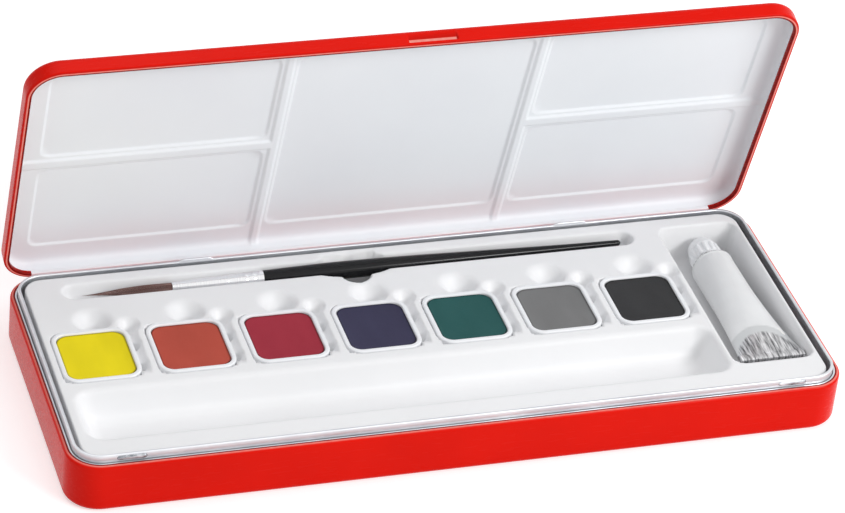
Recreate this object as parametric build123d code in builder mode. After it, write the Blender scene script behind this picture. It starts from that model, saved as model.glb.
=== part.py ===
from build123d import *
from math import asin, atan, cos, degrees, pi, radians, sin
import os

os.makedirs("parts", exist_ok=True)

# A flat tin paint box, open as it stands on a table: a pressed base and lid, a bright collar,
# a white tray with seven pans of gouache, a brush and a tube. Millimetres, +Z up, the front of
# the box towards -Y. The origin is the middle of the base's underside.

# Box
lid_height = 6.0
corner_radius = 10.0
sheet = 0.5
base_bottom_radius = 2.0
base_edge_radius = 0.4
lid_shoulder_radius = 2.2
lid_open_angle = 73.5
overrun = 1.0

# Collar that the lid closes over
neck_inset = 2.2
neck_rise = 2.3
neck_skirt = 4.0
curl_width = 1.4
curl_height = 1.2
curl_radius = 0.55
snap_end_gap = 17.4
snap_length = 8.6
snap_radius = 0.4
snap_proud = 0.3
snap_rise = 1.1
guard_rise = 0.7
guard_width = 0.7
guard_radius = 0.28

# Lid pressing
hem_width = 1.7
hem_height = 1.5
hem_radius = 0.5
ridge_step = 0.6
well_step = 0.6
ridge_place_share = 0.1648
ridge_width = 2.4
cross_ridge_width = 3.4
well_margin = 1.4
rim_margin = 8.2
well_radius = 3.0
thumb_place = 1.5
thumb_length = 14.5
thumb_height = 2.4
thumb_depth = 0.6
thumb_rise = 3.0

# Hinges, each two ears rolled from the base's back wall, a tongue of the lid's wall and a pin
hinge_place_share = 0.2535
hinge_inset = 0.3
hinge_drop = 3.8
pin_radius = 0.6
pin_clearance = 0.05
pin_end_gap = 0.1
knuckle_wall = 0.55
tongue_width = 5.1
tongue_lap = 1.8
ear_width = 3.0
ear_gap = 0.2

# Tray
tray_gap = 0.8
tray_rise = 1.3
tray_wall = 0.8
tray_edge_radius = 1.0
tray_floor_gap = 2.3

# Pans and their pockets
pan_count = 7
pan_gap = 4.83
pan_width = 23.8
pan_radius = 4.6
pan_wall = 1.4
pan_floor = 1.0
pan_height = 9.0
pan_proud = 0.4
pan_edge_radius = 0.4
pan_clearance = 0.35
pan_row_reach = 9.0
pan_row_shift = 2.0
pan_row_drop = 31.0
paint_drop = 0.6
paint_gap = 0.15

# Finger hollows beside each pan, placed from the pan's centre
bowl_mouth = 5.2
bowl_depth = 3.8
bowl_side = 2.5
bowl_back = 16.4
corner_bowl_mouth = 2.6
corner_bowl_depth = 2.4
corner_bowl_side = 12.3
corner_bowl_back = 12.6
scallop_radius = 2.2
scallop_depth = 5.0
scallop_side = 11.6
scallop_back = 4.4
scallop_front = 5.2

# Brush slot with its finger recess
slot_width = 6.8
slot_margin = 6.7
slot_end_margin = 10.7
slot_bay_gap = 9.1
slot_clearance = 0.1
recess_shift = 0.3
recess_half_length = 12.8
recess_half_width = 5.6
recess_depth = 9.5
front_lobe_radius = 4.3
front_lobe_offset = 4.4
back_lobe_radius = 3.9
back_lobe_side = 5.0
back_lobe_offset = 1.2

# Mixing trough
trough_reach = 7.5
trough_margin = 6.7
trough_pan_gap = 3.9
trough_depth = 9.2
trough_draft_angle = 12.0
trough_radius = 5.0
trough_floor_radius = 2.6

# Bay for the tube
bay_side_margin = 1.2
bay_back_margin = 3.9
bay_front_margin = 9.3
bay_inner_gap = 3.7
bay_outer_gap = 0.5
bay_cap_gap = 2.9
bay_tail_gap = 4.6
bay_draft_angle = 2.0
bay_radius = 3.5
bay_floor_radius = 2.0

# Brush
brush_tip_gap = 5.1
brush_end_gap = 3.5
brush_sink = 1.8
hair_length = 27.2
hair_root = 3.0
hair_belly_radius = 1.4
hair_tip_radius = 0.2
hair_setback = 10.3
hair_rings = 10
hair_fill_share = 0.92
hair_belly_share = 0.75
strand_share = 0.42
strand_tip_share = 0.5
ferrule_length = 27.6
ferrule_mouth_radius = 1.5
ferrule_end_radius = 2.35
ferrule_wall = 0.25
crimp_radius = 0.18
crimp_pitch = 2.2
handle_length = 112.0
handle_tenon = 8.0
handle_fit = 0.02
handle_neck_radius = 2.25
handle_belly_radius = 2.7
handle_end_radius = 0.9
handle_belly_share = 0.2
handle_taper_share = 0.62

# Tube and its screw cap
tube_radius = 6.5
tube_sink = 0.1
tube_wall = 0.3
tube_length = 48.1
tube_clearance = 0.1
tail_rise = 2.9
tail_half_width = 10.1
tail_half_height = 0.8
fold_length = 2.6
fold_height = 1.6
fold_overhang = 0.2
fold_radius = 0.5
shoulder_height = 2.6
shoulder_radius = 4.2
nozzle_radius = 2.7
nozzle_bore_radius = 1.5
nozzle_length = 5.0
paint_skin = 0.05
cap_length = 7.9
cap_skirt_length = 4.6
cap_base_radius = 5.1
cap_end_radius = 4.1
cap_clearance = 0.1
cap_gap = 0.3
cap_flutes = 14
cap_flute_radius = 0.55
cap_flute_offset = 0.25
liner_height = 0.6
liner_gap = 0.05
tube_section_shares = (0, 0.3, 0.6, 0.85, 1)

# The brush and the tube set the tray's slot and bay, and these set the box
tray_inset = neck_inset + curl_width + tray_gap
brush_length = hair_length + ferrule_length + handle_length
slot_length = brush_tip_gap + brush_length + brush_end_gap
fold_half_width = tail_half_width + fold_overhang
bay_width = bay_inner_gap + 2 * fold_half_width + bay_outer_gap
cap_end = shoulder_height + cap_gap + cap_length
bay_length = bay_cap_gap + cap_end + tube_length + fold_length + bay_tail_gap
bay_depth = 2 * tube_radius + tube_clearance + tube_sink
tray_length = slot_end_margin + slot_length + slot_bay_gap + bay_width + bay_side_margin
tray_width = bay_back_margin + bay_length + bay_front_margin
box_length = tray_length + 2 * tray_inset
box_width = tray_width + 2 * tray_inset
base_height = sheet + tray_floor_gap + tray_wall + bay_depth - tray_rise

# Places worked out from the sizes above
tray_top = base_height + tray_rise
bay_side = tray_length / 2 - bay_side_margin - bay_width / 2
bay_back = tray_width / 2 - bay_back_margin - bay_length / 2
slot_side = slot_end_margin + slot_length / 2 - tray_length / 2
slot_back = tray_width / 2 - slot_margin
recess_side = slot_side - recess_shift
pan_pitch = (slot_length + 2 * pan_row_reach) / pan_count
pan_length = pan_pitch - pan_gap
pan_row_side = slot_side - pan_row_shift
pan_row_back = slot_back - pan_row_drop
trough_length = slot_length + 2 * trough_reach
trough_front = tray_width / 2 - trough_margin
trough_back = pan_row_back - pan_width / 2 - trough_pan_gap
trough_width = trough_back + trough_front
snap_place = box_length / 2 - snap_end_gap
ridge_place = ridge_place_share * box_length
hinge_place = hinge_place_share * box_length
hinge_y = box_width / 2 - hinge_inset
hinge_z = base_height - hinge_drop
knuckle_radius = pin_radius + pin_clearance + knuckle_wall
hinge_width = tongue_width + 2 * (ear_gap + ear_width)
notch_reach = knuckle_radius + ear_gap
pan_top = tray_top + pan_proud
pan_bottom = pan_top - pan_height
brush_z = tray_top - brush_sink
slot_depth = brush_sink + handle_belly_radius + slot_clearance
tube_x = bay_side + (bay_inner_gap - bay_outer_gap) / 2
tube_z = tray_top - tube_sink - tube_radius
tube_shoulder_back = bay_back + bay_length / 2 - bay_cap_gap - cap_end

# The lid is drawn closed in its own frames: one on the hinge axis, one at the middle of its rim
lid_up = (0, sin(radians(lid_open_angle)), cos(radians(lid_open_angle)))
hinge_frame = Plane(origin=(0, hinge_y, hinge_z), x_dir=(1, 0, 0), z_dir=lid_up)
rim_middle = hinge_frame.from_local_coords(Vector(0, hinge_inset - box_width / 2, hinge_drop))
lid_plane = Plane(origin=rim_middle, x_dir=(1, 0, 0), z_dir=lid_up)


def outline(inset, mode=Mode.ADD):
    """The box's rounded rectangle, drawn in from its outer face."""
    return RectangleRounded(
        box_length - 2 * inset, box_width - 2 * inset, corner_radius - inset, mode=mode
    )


def ring(outer_inset, inner_inset):
    """A band that follows the box's rounded rectangle."""
    outline(outer_inset)
    outline(inner_inset, mode=Mode.SUBTRACT)


def save(piece, name):
    """Name a finished piece and write its file."""
    piece.part.label = name
    export_step(piece.part, "parts/" + name + ".step")


# Room for the lid's tongues, in from the base's back wall and up through its top
with BuildPart() as hinge_notches:
    with BuildSketch(Plane.XY.offset(hinge_z - notch_reach)):
        with Locations((-hinge_place, hinge_y), (hinge_place, hinge_y)):
            Rectangle(tongue_width + 2 * ear_gap, 2 * notch_reach)
    extrude(amount=hinge_drop + notch_reach + overrun)

# Base: a pressed dish with a flange turned in at the top, and the ears of both hinges rolled
# from its back wall
with BuildPart() as dish_space:
    with BuildSketch(Plane.XY.offset(sheet)):
        outline(sheet)
    extrude(amount=base_height - 2 * sheet)
    fillet(dish_space.edges().group_by(Axis.Z)[0], base_bottom_radius - sheet)

with BuildPart() as base_shell:
    with BuildSketch(Plane.XY):
        outline(0)
    extrude(amount=base_height)
    fillet(base_shell.edges().group_by(Axis.Z)[0], base_bottom_radius)
    fillet(base_shell.edges().group_by(Axis.Z)[-1], base_edge_radius)
    add(dish_space.part, mode=Mode.SUBTRACT)
    with BuildSketch(Plane.XY.offset(base_height - sheet - overrun)):
        outline(neck_inset)
    extrude(amount=sheet + 2 * overrun, mode=Mode.SUBTRACT)
    for side in (-hinge_place, hinge_place):
        roll_plane = Plane(origin=(side - hinge_width / 2, hinge_y, hinge_z), z_dir=(1, 0, 0))
        with BuildSketch(roll_plane):
            Circle(knuckle_radius)
        extrude(amount=hinge_width)
        with BuildSketch(roll_plane):
            Circle(pin_radius + pin_clearance)
        extrude(amount=hinge_width, mode=Mode.SUBTRACT)
    add(hinge_notches.part, mode=Mode.SUBTRACT)
save(base_shell, "base_shell")

# Collar: a band standing out of the base, curled in along its top, with a foot under the flange
neck_top = base_height + neck_rise
with BuildPart() as rim_frame:
    with BuildSketch(Plane.XY.offset(base_height - sheet - neck_skirt)):
        ring(neck_inset, neck_inset + sheet)
    extrude(amount=neck_top - base_height + sheet + neck_skirt)
    with BuildSketch(Plane.XY.offset(base_height - 2 * sheet)):
        ring(sheet, neck_inset + sheet)
    extrude(amount=sheet)
    add(hinge_notches.part, mode=Mode.SUBTRACT)
    with BuildSketch(Plane.XY.offset(neck_top - curl_height)):
        ring(neck_inset, neck_inset + curl_width)
    extrude(amount=curl_height)
    fillet(rim_frame.edges().group_by(Axis.Z)[-1], curl_radius)
    for side in (-snap_place, snap_place):
        snap_back = neck_inset + snap_radius - snap_proud - box_width / 2
        snap_origin = (side - snap_length / 2, snap_back, base_height + snap_rise)
        with BuildSketch(Plane(origin=snap_origin, z_dir=(1, 0, 0))):
            Circle(snap_radius)
        extrude(amount=snap_length)
    for side in (-hinge_place, hinge_place):
        guard_back = box_width / 2 - neck_inset - curl_width / 2
        with BuildSketch(Plane(origin=(side, guard_back, neck_top - curl_height / 2))):
            RectangleRounded(hinge_width, guard_width, guard_radius)
        extrude(amount=curl_height / 2 + guard_rise)
save(rim_frame, "rim_frame")

# Lid: one pressed sheet with five shallow mixing wells, drawn closed in the lid's own frame
ridge_level = lid_height - sheet - ridge_step
cell_level = lid_height - sheet
column_edge = box_length / 2 - rim_margin
row_edge = box_width / 2 - rim_margin
inner_edge = ridge_place + ridge_width / 2 + well_margin
centre_edge = ridge_place - ridge_width / 2 - well_margin
row_start = cross_ridge_width / 2 + well_margin
side_well_length = column_edge - inner_edge
side_well_width = row_edge - row_start
side_well_places = [
    (x_sign * (column_edge + inner_edge) / 2, y_sign * (row_edge + row_start) / 2)
    for x_sign in (-1, 1)
    for y_sign in (-1, 1)
]


def wells(grow):
    """The outlines of the five wells, each grown by the same amount."""
    with Locations(*side_well_places):
        RectangleRounded(side_well_length + 2 * grow, side_well_width + 2 * grow, well_radius + grow)
    RectangleRounded(2 * (centre_edge + grow), 2 * (row_edge + grow), well_radius + grow)


def ridge_bars(narrow, mode=Mode.ADD):
    """The ridges between the cells, as bars that run into the lid's walls."""
    cross_length = box_length / 2 - ridge_place
    with Locations((-ridge_place, 0), (ridge_place, 0)):
        Rectangle(ridge_width - 2 * narrow, box_width, mode=mode)
    with Locations((-ridge_place - cross_length / 2, 0), (ridge_place + cross_length / 2, 0)):
        Rectangle(cross_length, cross_ridge_width - 2 * narrow, mode=mode)


with BuildPart() as hem_bead:
    with BuildSketch(lid_plane):
        ring(sheet / 2, hem_width)
    extrude(amount=hem_height)
    hem_ends = hem_bead.faces().sort_by(Axis(lid_plane.origin, lid_plane.z_dir))
    fillet(
        [edge for end in (hem_ends[0], hem_ends[-1]) for edge in end.inner_wires()[0].edges()],
        hem_radius,
    )

with BuildPart() as lid_space:
    with BuildSketch(lid_plane):
        outline(sheet)
    extrude(amount=cell_level)
    space_top = lid_space.faces().sort_by(Axis(lid_plane.origin, lid_plane.z_dir))[-1]
    fillet(space_top.edges(), lid_shoulder_radius - sheet)
    with BuildSketch(lid_plane.offset(ridge_level)):
        ridge_bars(0)
    extrude(amount=ridge_step, mode=Mode.SUBTRACT)

with BuildPart() as lid_shell:
    with BuildSketch(lid_plane):
        outline(0)
    extrude(amount=lid_height)
    lid_top = lid_shell.faces().sort_by(Axis(lid_plane.origin, lid_plane.z_dir))[-1]
    fillet(lid_top.edges(), lid_shoulder_radius)
    with BuildSketch(lid_plane.offset(cell_level)):
        wells(sheet)
    extrude(amount=sheet + well_step)
    with BuildSketch(lid_plane.offset(lid_height - ridge_step)):
        ridge_bars(sheet)
    extrude(amount=ridge_step + overrun, mode=Mode.SUBTRACT)
    add(lid_space.part, mode=Mode.SUBTRACT)
    with BuildSketch(lid_plane.offset(cell_level)):
        wells(0)
    extrude(amount=well_step, mode=Mode.SUBTRACT)
    add(hem_bead.part)
    with BuildSketch(lid_plane.offset(thumb_rise - thumb_height / 2 - sheet)):
        with Locations((thumb_place, sheet + thumb_depth / 2 - box_width / 2)):
            Rectangle(thumb_length + 2 * sheet, thumb_depth + sheet)
    extrude(amount=thumb_height + 2 * sheet)
    with BuildSketch(lid_plane.offset(thumb_rise - thumb_height / 2)):
        with Locations((thumb_place, thumb_depth / 2 - box_width / 2)):
            Rectangle(thumb_length, thumb_depth)
    extrude(amount=thumb_height, mode=Mode.SUBTRACT)
    for side in (-hinge_place, hinge_place):
        tongue_origin = hinge_frame.from_local_coords(Vector(side - tongue_width / 2, 0, 0))
        with BuildSketch(Plane(origin=tongue_origin, x_dir=hinge_frame.y_dir, z_dir=(1, 0, 0))):
            Circle(knuckle_radius)
            with Locations((hinge_inset - sheet, 0)):
                Rectangle(sheet, hinge_drop + tongue_lap, align=(Align.MIN, Align.MIN))
            Circle(pin_radius + pin_clearance, mode=Mode.SUBTRACT)
        extrude(amount=tongue_width)
save(lid_shell, "lid_shell")

# Hinge pins
for name, side in (("hinge_pin_left", -hinge_place), ("hinge_pin_right", hinge_place)):
    with BuildPart() as hinge_pin:
        pin_length = hinge_width - 2 * pin_end_gap
        with BuildSketch(Plane(origin=(side - pin_length / 2, hinge_y, hinge_z), z_dir=(1, 0, 0))):
            Circle(pin_radius)
        extrude(amount=pin_length)
    save(hinge_pin, name)

# Tray: a thin formed sheet, with a cup for each pan, the brush, the trough and the tube
pan_places = [
    (pan_row_side + (number - (pan_count - 1) / 2) * pan_pitch, pan_row_back)
    for number in range(pan_count)
]


def moved(side, back):
    """The same place beside every pan."""
    return [(pan_x + side, pan_y + back) for pan_x, pan_y in pan_places]


def bowl(mouth, depth, wall):
    """A round hollow at the tray's top, or the cup round it where wall isn't zero."""
    inner_radius = (mouth**2 + depth**2) / (2 * depth)
    above = inner_radius - depth
    radius = inner_radius + wall
    return Sphere(
        radius,
        arc_size1=-90,
        arc_size2=-degrees(asin(above / radius)),
        align=(Align.CENTER, Align.CENTER, Align.MAX),
        mode=Mode.SUBTRACT if wall == 0 else Mode.ADD,
    )


def pan_pockets(wall):
    """The outlines of all the pan pockets, or of the cups round them."""
    grow = pan_clearance + wall
    with Locations(*pan_places):
        RectangleRounded(pan_length + 2 * grow, pan_width + 2 * grow, pan_radius + grow)


def scallops(wall):
    """The outlines of the finger hollows along the side of each pan."""
    with Locations(*moved(scallop_side, scallop_back), *moved(scallop_side, -scallop_front)):
        Circle(scallop_radius + wall)


def brush_slot(wall):
    """The outline of the slot."""
    with Locations((slot_side, slot_back)):
        SlotOverall(slot_length + 2 * wall, slot_width + 2 * wall)


def finger_recess(wall):
    """The outline of the recess that lets a finger under the brush."""
    with Locations((recess_side, slot_back)):
        Ellipse(recess_half_length + wall, recess_half_width + wall)
    with Locations((recess_side, slot_back - front_lobe_offset)):
        Circle(front_lobe_radius + wall)
    with Locations((recess_side + back_lobe_side, slot_back + back_lobe_offset)):
        Circle(back_lobe_radius + wall)


def tapered_pocket(side, back, length, width, radius, depth, draft, floor_radius):
    """A pocket that narrows towards a rounded floor."""
    with BuildPart() as pocket:
        with BuildSketch(Plane(origin=(side, back, tray_top), x_dir=(1, 0, 0), z_dir=(0, 0, -1))):
            RectangleRounded(length, width, radius)
        extrude(amount=depth, taper=draft)
        fillet(pocket.edges().group_by(Axis.Z)[0], floor_radius)
    return pocket.part


def trough(wall):
    """The space of the mixing trough, or the cup round it."""
    return tapered_pocket(
        slot_side,
        (trough_back - trough_front) / 2,
        trough_length + 2 * wall,
        trough_width + 2 * wall,
        trough_radius + wall,
        trough_depth + wall,
        trough_draft_angle,
        trough_floor_radius + wall,
    )


def bay(wall):
    """The space of the tube's bay, or the cup round it."""
    return tapered_pocket(
        bay_side,
        bay_back,
        bay_width + 2 * wall,
        bay_length + 2 * wall,
        bay_radius + wall,
        bay_depth + wall,
        bay_draft_angle,
        bay_floor_radius + wall,
    )


pan_pocket_depth = tray_top - pan_bottom
cups = (
    (pan_pockets, pan_pocket_depth),
    (scallops, scallop_depth),
    (brush_slot, slot_depth),
    (finger_recess, recess_depth),
)
with BuildPart() as tray_insert:
    with BuildSketch(Plane.XY.offset(sheet)):
        outline(tray_inset)
    extrude(amount=tray_top - sheet)
    fillet(tray_insert.edges().group_by(Axis.Z)[-1], tray_edge_radius)
    with BuildSketch(Plane.XY.offset(sheet)):
        outline(tray_inset + tray_wall)
    extrude(amount=tray_top - tray_wall - sheet, mode=Mode.SUBTRACT)
    for shape, depth in cups:
        with BuildSketch(Plane.XY.offset(tray_top)):
            shape(tray_wall)
        extrude(amount=-depth - tray_wall)
    with Locations(*[(x, y, tray_top) for x, y in moved(bowl_side, bowl_back)]):
        bowl(bowl_mouth, bowl_depth, tray_wall)
    with Locations(*[(x, y, tray_top) for x, y in moved(corner_bowl_side, corner_bowl_back)]):
        bowl(corner_bowl_mouth, corner_bowl_depth, tray_wall)
    add(trough(tray_wall))
    add(bay(tray_wall))
    for shape, depth in cups:
        with BuildSketch(Plane.XY.offset(tray_top)):
            shape(0)
        extrude(amount=-depth, mode=Mode.SUBTRACT)
    with Locations(*[(x, y, tray_top) for x, y in moved(bowl_side, bowl_back)]):
        bowl(bowl_mouth, bowl_depth, 0)
    with Locations(*[(x, y, tray_top) for x, y in moved(corner_bowl_side, corner_bowl_back)]):
        bowl(corner_bowl_mouth, corner_bowl_depth, 0)
    add(trough(0), mode=Mode.SUBTRACT)
    add(bay(0), mode=Mode.SUBTRACT)
save(tray_insert, "tray_insert")

# Pans, and the block of dried gouache that each one holds
for number, (pan_x, pan_y) in enumerate(pan_places, start=1):
    with BuildPart() as pan:
        with BuildSketch(Plane(origin=(pan_x, pan_y, pan_bottom))):
            RectangleRounded(pan_length, pan_width, pan_radius)
        extrude(amount=pan_height)
        fillet(pan.edges().group_by(Axis.Z)[-1], pan_edge_radius)
        with BuildSketch(Plane(origin=(pan_x, pan_y, pan_bottom + pan_floor))):
            RectangleRounded(pan_length - 2 * pan_wall, pan_width - 2 * pan_wall, pan_radius - pan_wall)
        extrude(amount=pan_height, mode=Mode.SUBTRACT)
    save(pan, f"pan_{number}")
    with BuildPart() as paint:
        inset = pan_wall + paint_gap
        with BuildSketch(Plane(origin=(pan_x, pan_y, pan_bottom + pan_floor))):
            RectangleRounded(pan_length - 2 * inset, pan_width - 2 * inset, pan_radius - inset)
        extrude(amount=pan_height - pan_floor - paint_drop)
    save(paint, f"paint_{number}")

# Brush, drawn along a plane through its axis, from the tip of the hair to the end of the handle
brush_tip = slot_side + slot_length / 2 - brush_end_gap - brush_length
ferrule_start = brush_tip + hair_length
handle_start = ferrule_start + ferrule_length


def brush_plane(start):
    """An upright plane along the brush's axis, whose height is the radius."""
    return Plane(origin=(start, slot_back, brush_z), x_dir=(1, 0, 0), z_dir=(0, -1, 0))


brush_axis = Axis(origin=(0, slot_back, brush_z), direction=(1, 0, 0))
mouth_bore_radius = ferrule_mouth_radius - ferrule_wall
end_bore_radius = ferrule_end_radius - ferrule_wall

with BuildPart() as brush_ferrule:
    with BuildSketch(brush_plane(ferrule_start)):
        with BuildLine():
            Polyline(
                (0, mouth_bore_radius),
                (0, ferrule_mouth_radius),
                (ferrule_length, ferrule_end_radius),
                (ferrule_length, end_bore_radius),
                close=True,
            )
        make_face()
        with Locations(
            (ferrule_length - crimp_pitch, ferrule_end_radius),
            (ferrule_length - 2 * crimp_pitch, ferrule_end_radius),
        ):
            Circle(crimp_radius, mode=Mode.SUBTRACT)
    revolve(axis=brush_axis)
save(brush_ferrule, "brush_ferrule")

ferrule_taper = (end_bore_radius - mouth_bore_radius) / ferrule_length
tenon_start_radius = end_bore_radius - handle_tenon * ferrule_taper
with BuildPart() as brush_handle:
    with BuildSketch(brush_plane(handle_start)):
        with BuildLine():
            belly = Spline(
                (0, handle_neck_radius),
                (handle_length * handle_belly_share, handle_belly_radius),
                (handle_length * handle_taper_share, (handle_belly_radius + handle_end_radius) / 2),
                (handle_length - handle_end_radius, handle_end_radius),
            )
            tip = RadiusArc(belly @ 1, (handle_length, 0), handle_end_radius)
            Polyline(
                tip @ 1,
                (-handle_tenon, 0),
                (-handle_tenon, tenon_start_radius - handle_fit),
                (0, end_bore_radius - handle_fit),
                belly @ 0,
            )
        make_face()
    revolve(axis=brush_axis)
save(brush_handle, "brush_handle")

# Hair: tapering strands on a six-sided grid that is drawn in and out along the brush, so that
# neighbours never cross, grown from a disc inside the ferrule's mouth
mouth_spread = hair_fill_share * mouth_bore_radius
belly_place = hair_length * hair_belly_share
grid_step = 1 / (hair_rings + strand_share)
strand_radius_share = strand_share * grid_step
strand_grid = []
for row in range(-hair_rings, hair_rings + 1):
    for column in range(-hair_rings, hair_rings + 1):
        if abs(row + column) <= hair_rings:
            strand_grid.append(((column + row / 2) * grid_step, row * grid_step * sin(pi / 3)))


def strand_corners(place, spread, across, up, radius_share):
    """The three corners of a strand's section at one place along the hair."""
    return [
        Vector(
            brush_tip + place,
            slot_back + spread * (across + radius_share * cos(turn)),
            brush_z + spread * (up + radius_share * sin(turn)),
        )
        for turn in (pi / 6, 5 * pi / 6, 3 * pi / 2)
    ]


def strand_faces(across, up):
    """The sides and the tip of one strand, and the outline of its root on the disc."""
    tip_place = hair_setback * (across**2 + up**2)
    tip_spread = hair_tip_radius + (hair_belly_radius - hair_tip_radius) * tip_place / belly_place
    sections = [
        strand_corners(hair_length, mouth_spread, across, up, strand_radius_share),
        strand_corners(belly_place, hair_belly_radius, across, up, strand_radius_share),
        strand_corners(tip_place, tip_spread, across, up, strand_radius_share * strand_tip_share),
    ]
    faces = [Face(Wire.make_polygon(sections[-1]))]
    for near, far in zip(sections, sections[1:]):
        for corner in range(3):
            rectangle = (near[corner - 1], near[corner], far[corner], far[corner - 1])
            faces.append(Face(Wire.make_polygon(rectangle)))
    return faces, Wire.make_polygon(sections[0])


# The disc and the strands share one closed skin: the disc's front face has a hole at each root
with BuildPart() as hair_disc:
    with BuildSketch(Plane(origin=(ferrule_start, slot_back, brush_z), z_dir=(1, 0, 0))):
        Circle(mouth_bore_radius)
    extrude(amount=hair_root)
disc_faces = hair_disc.faces().sort_by(Axis.X)
hair_faces = list(disc_faces[1:])
roots = []
for across, up in strand_grid:
    faces, root = strand_faces(across, up)
    hair_faces += faces
    roots.append(root)
hair_faces.append(Face(disc_faces[0].outer_wire(), roots))
with BuildPart() as brush_hair:
    add(Solid(Shell(hair_faces)))
save(brush_hair, "brush_hair")

# Tube: a soft metal tube, round at its shoulder and flattened to a folded tail
def tube_plane(along):
    """A plane across the tube, this far behind its shoulder's foot."""
    return Plane(origin=(tube_x, tube_shoulder_back + along, tube_z), x_dir=(1, 0, 0), z_dir=(0, 1, 0))


def tube_bulk(inset, top_radius, top_height):
    """The tube's swollen body and shoulder, drawn in from its outer face."""
    with BuildPart() as bulk:
        for share in tube_section_shares:
            roundness = cos(share * pi / 2)
            half_height = tail_half_height + (tube_radius - tail_half_height) * roundness
            half_width = tail_half_width + (tube_radius - tail_half_width) * roundness
            section_back = tube_shoulder_back - share * tube_length
            section_z = tube_z + tail_rise * share**2
            section_origin = (tube_x, section_back, section_z)
            with BuildSketch(Plane(origin=section_origin, x_dir=(1, 0, 0), z_dir=(0, 1, 0))):
                Ellipse(half_width - inset, half_height - inset)
        loft()
        with BuildSketch(tube_plane(0)):
            Circle(tube_radius - inset)
        with BuildSketch(tube_plane(top_height)):
            Circle(top_radius)
        loft()
    return bulk.part


with BuildPart() as tube_body:
    add(tube_bulk(0, shoulder_radius, shoulder_height))
    with BuildSketch(tube_plane(shoulder_height)):
        Circle(nozzle_radius)
    extrude(amount=nozzle_length)
    fold_origin = (tube_x, tube_shoulder_back - tube_length, tube_z + tail_rise)
    with BuildSketch(Plane(origin=fold_origin, x_dir=(1, 0, 0), z_dir=(0, -1, 0))):
        RectangleRounded(2 * fold_half_width, fold_height, fold_radius)
    extrude(amount=fold_length)
    add(tube_bulk(tube_wall, nozzle_bore_radius, shoulder_height - tube_wall), mode=Mode.SUBTRACT)
    with BuildSketch(tube_plane(0)):
        Circle(nozzle_bore_radius)
    extrude(amount=shoulder_height + nozzle_length, mode=Mode.SUBTRACT)
save(tube_body, "tube_body")

with BuildPart() as tube_paint:
    skin = tube_wall + paint_skin
    add(tube_bulk(skin, nozzle_bore_radius - paint_skin, shoulder_height - skin))
    with BuildSketch(tube_plane(0)):
        Circle(nozzle_bore_radius - paint_skin)
    extrude(amount=shoulder_height + nozzle_length)
save(tube_paint, "tube_paint")

# Cap with a flat sealing disc at the end of its bore
nozzle_top = shoulder_height + nozzle_length
cap_start = shoulder_height + cap_gap
bore_radius = nozzle_radius + cap_clearance
cap_cone_length = cap_length - cap_skirt_length
with BuildPart() as cap_liner:
    with BuildSketch(tube_plane(nozzle_top + liner_gap)):
        Circle(bore_radius - liner_gap)
    extrude(amount=liner_height)
save(cap_liner, "cap_liner")

with BuildPart() as tube_cap:
    with BuildSketch(tube_plane(cap_start)):
        Circle(cap_base_radius)
        with PolarLocations(cap_base_radius + cap_flute_offset, cap_flutes):
            Circle(cap_flute_radius, mode=Mode.SUBTRACT)
    extrude(amount=cap_skirt_length)
    with BuildSketch(tube_plane(cap_start + cap_skirt_length)):
        Circle(cap_base_radius - cap_flute_radius)
    cap_slope = atan((cap_base_radius - cap_flute_radius - cap_end_radius) / cap_cone_length)
    extrude(amount=cap_cone_length, taper=degrees(cap_slope))
    with BuildSketch(tube_plane(cap_start)):
        Circle(bore_radius)
    bore_depth = nozzle_top + 2 * liner_gap + liner_height - cap_start
    extrude(amount=bore_depth, mode=Mode.SUBTRACT)
save(tube_cap, "tube_cap")
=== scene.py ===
import math

import bmesh
import bpy
import numpy as np
from mathutils import Matrix, Vector, noise


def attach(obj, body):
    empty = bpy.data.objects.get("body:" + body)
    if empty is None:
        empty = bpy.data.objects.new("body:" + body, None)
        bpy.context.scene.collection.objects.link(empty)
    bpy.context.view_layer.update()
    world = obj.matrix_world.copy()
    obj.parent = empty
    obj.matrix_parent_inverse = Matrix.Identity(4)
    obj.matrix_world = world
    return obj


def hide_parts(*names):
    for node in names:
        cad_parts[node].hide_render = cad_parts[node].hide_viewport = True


# A flat tin paint box with its lid open. Sizes are in millimetres, those of the solids.
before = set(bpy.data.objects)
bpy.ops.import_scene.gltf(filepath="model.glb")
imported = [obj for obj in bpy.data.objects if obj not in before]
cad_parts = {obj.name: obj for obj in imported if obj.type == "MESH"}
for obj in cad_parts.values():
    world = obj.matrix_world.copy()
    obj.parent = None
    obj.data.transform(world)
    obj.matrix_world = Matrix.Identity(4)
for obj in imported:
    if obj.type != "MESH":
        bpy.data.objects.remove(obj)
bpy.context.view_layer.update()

MM = 0.001

# Box and lid
box_length, box_width, corner_radius = 230.0, 91.0, 10.0
base_height, lid_height, sheet = 15.5, 6.0, 0.5
neck_inset, neck_rise = 2.2, 2.3
lid_open_angle = 73.5
hinge_place, hinge_inset, hinge_drop = 58.3, 0.3, 3.8
hinge_y, hinge_z = box_width / 2 - hinge_inset, base_height - hinge_drop
knuckle_radius, pin_bore, hinge_width, notch_width = 1.2, 0.66, 11.5, 5.5
snap_place, snap_length = 97.6, 8.6
ridge_place, ridge_width, cross_ridge_width = 37.9, 2.4, 3.4
rim_margin, well_margin, well_radius = 8.2, 1.4, 3.0
thumb_place, thumb_length, thumb_low, thumb_high, thumb_depth = 1.5, 14.5, 0.9, 4.2, 0.6

# Tray
tray_top, tray_inset, tray_wall = 16.8, 4.4, 0.8
field_side = -12.2
pan_count, pan_pitch, pan_row_side, pan_row_back = 7, 27.63, -14.2, 3.4
pan_length, pan_width, pan_radius = 22.8, 23.8, 4.6
pan_top, pan_height, pan_clearance = 17.2, 9.0, 0.35
slot_back, slot_length, slot_width = 34.4, 175.4, 6.8

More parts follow.
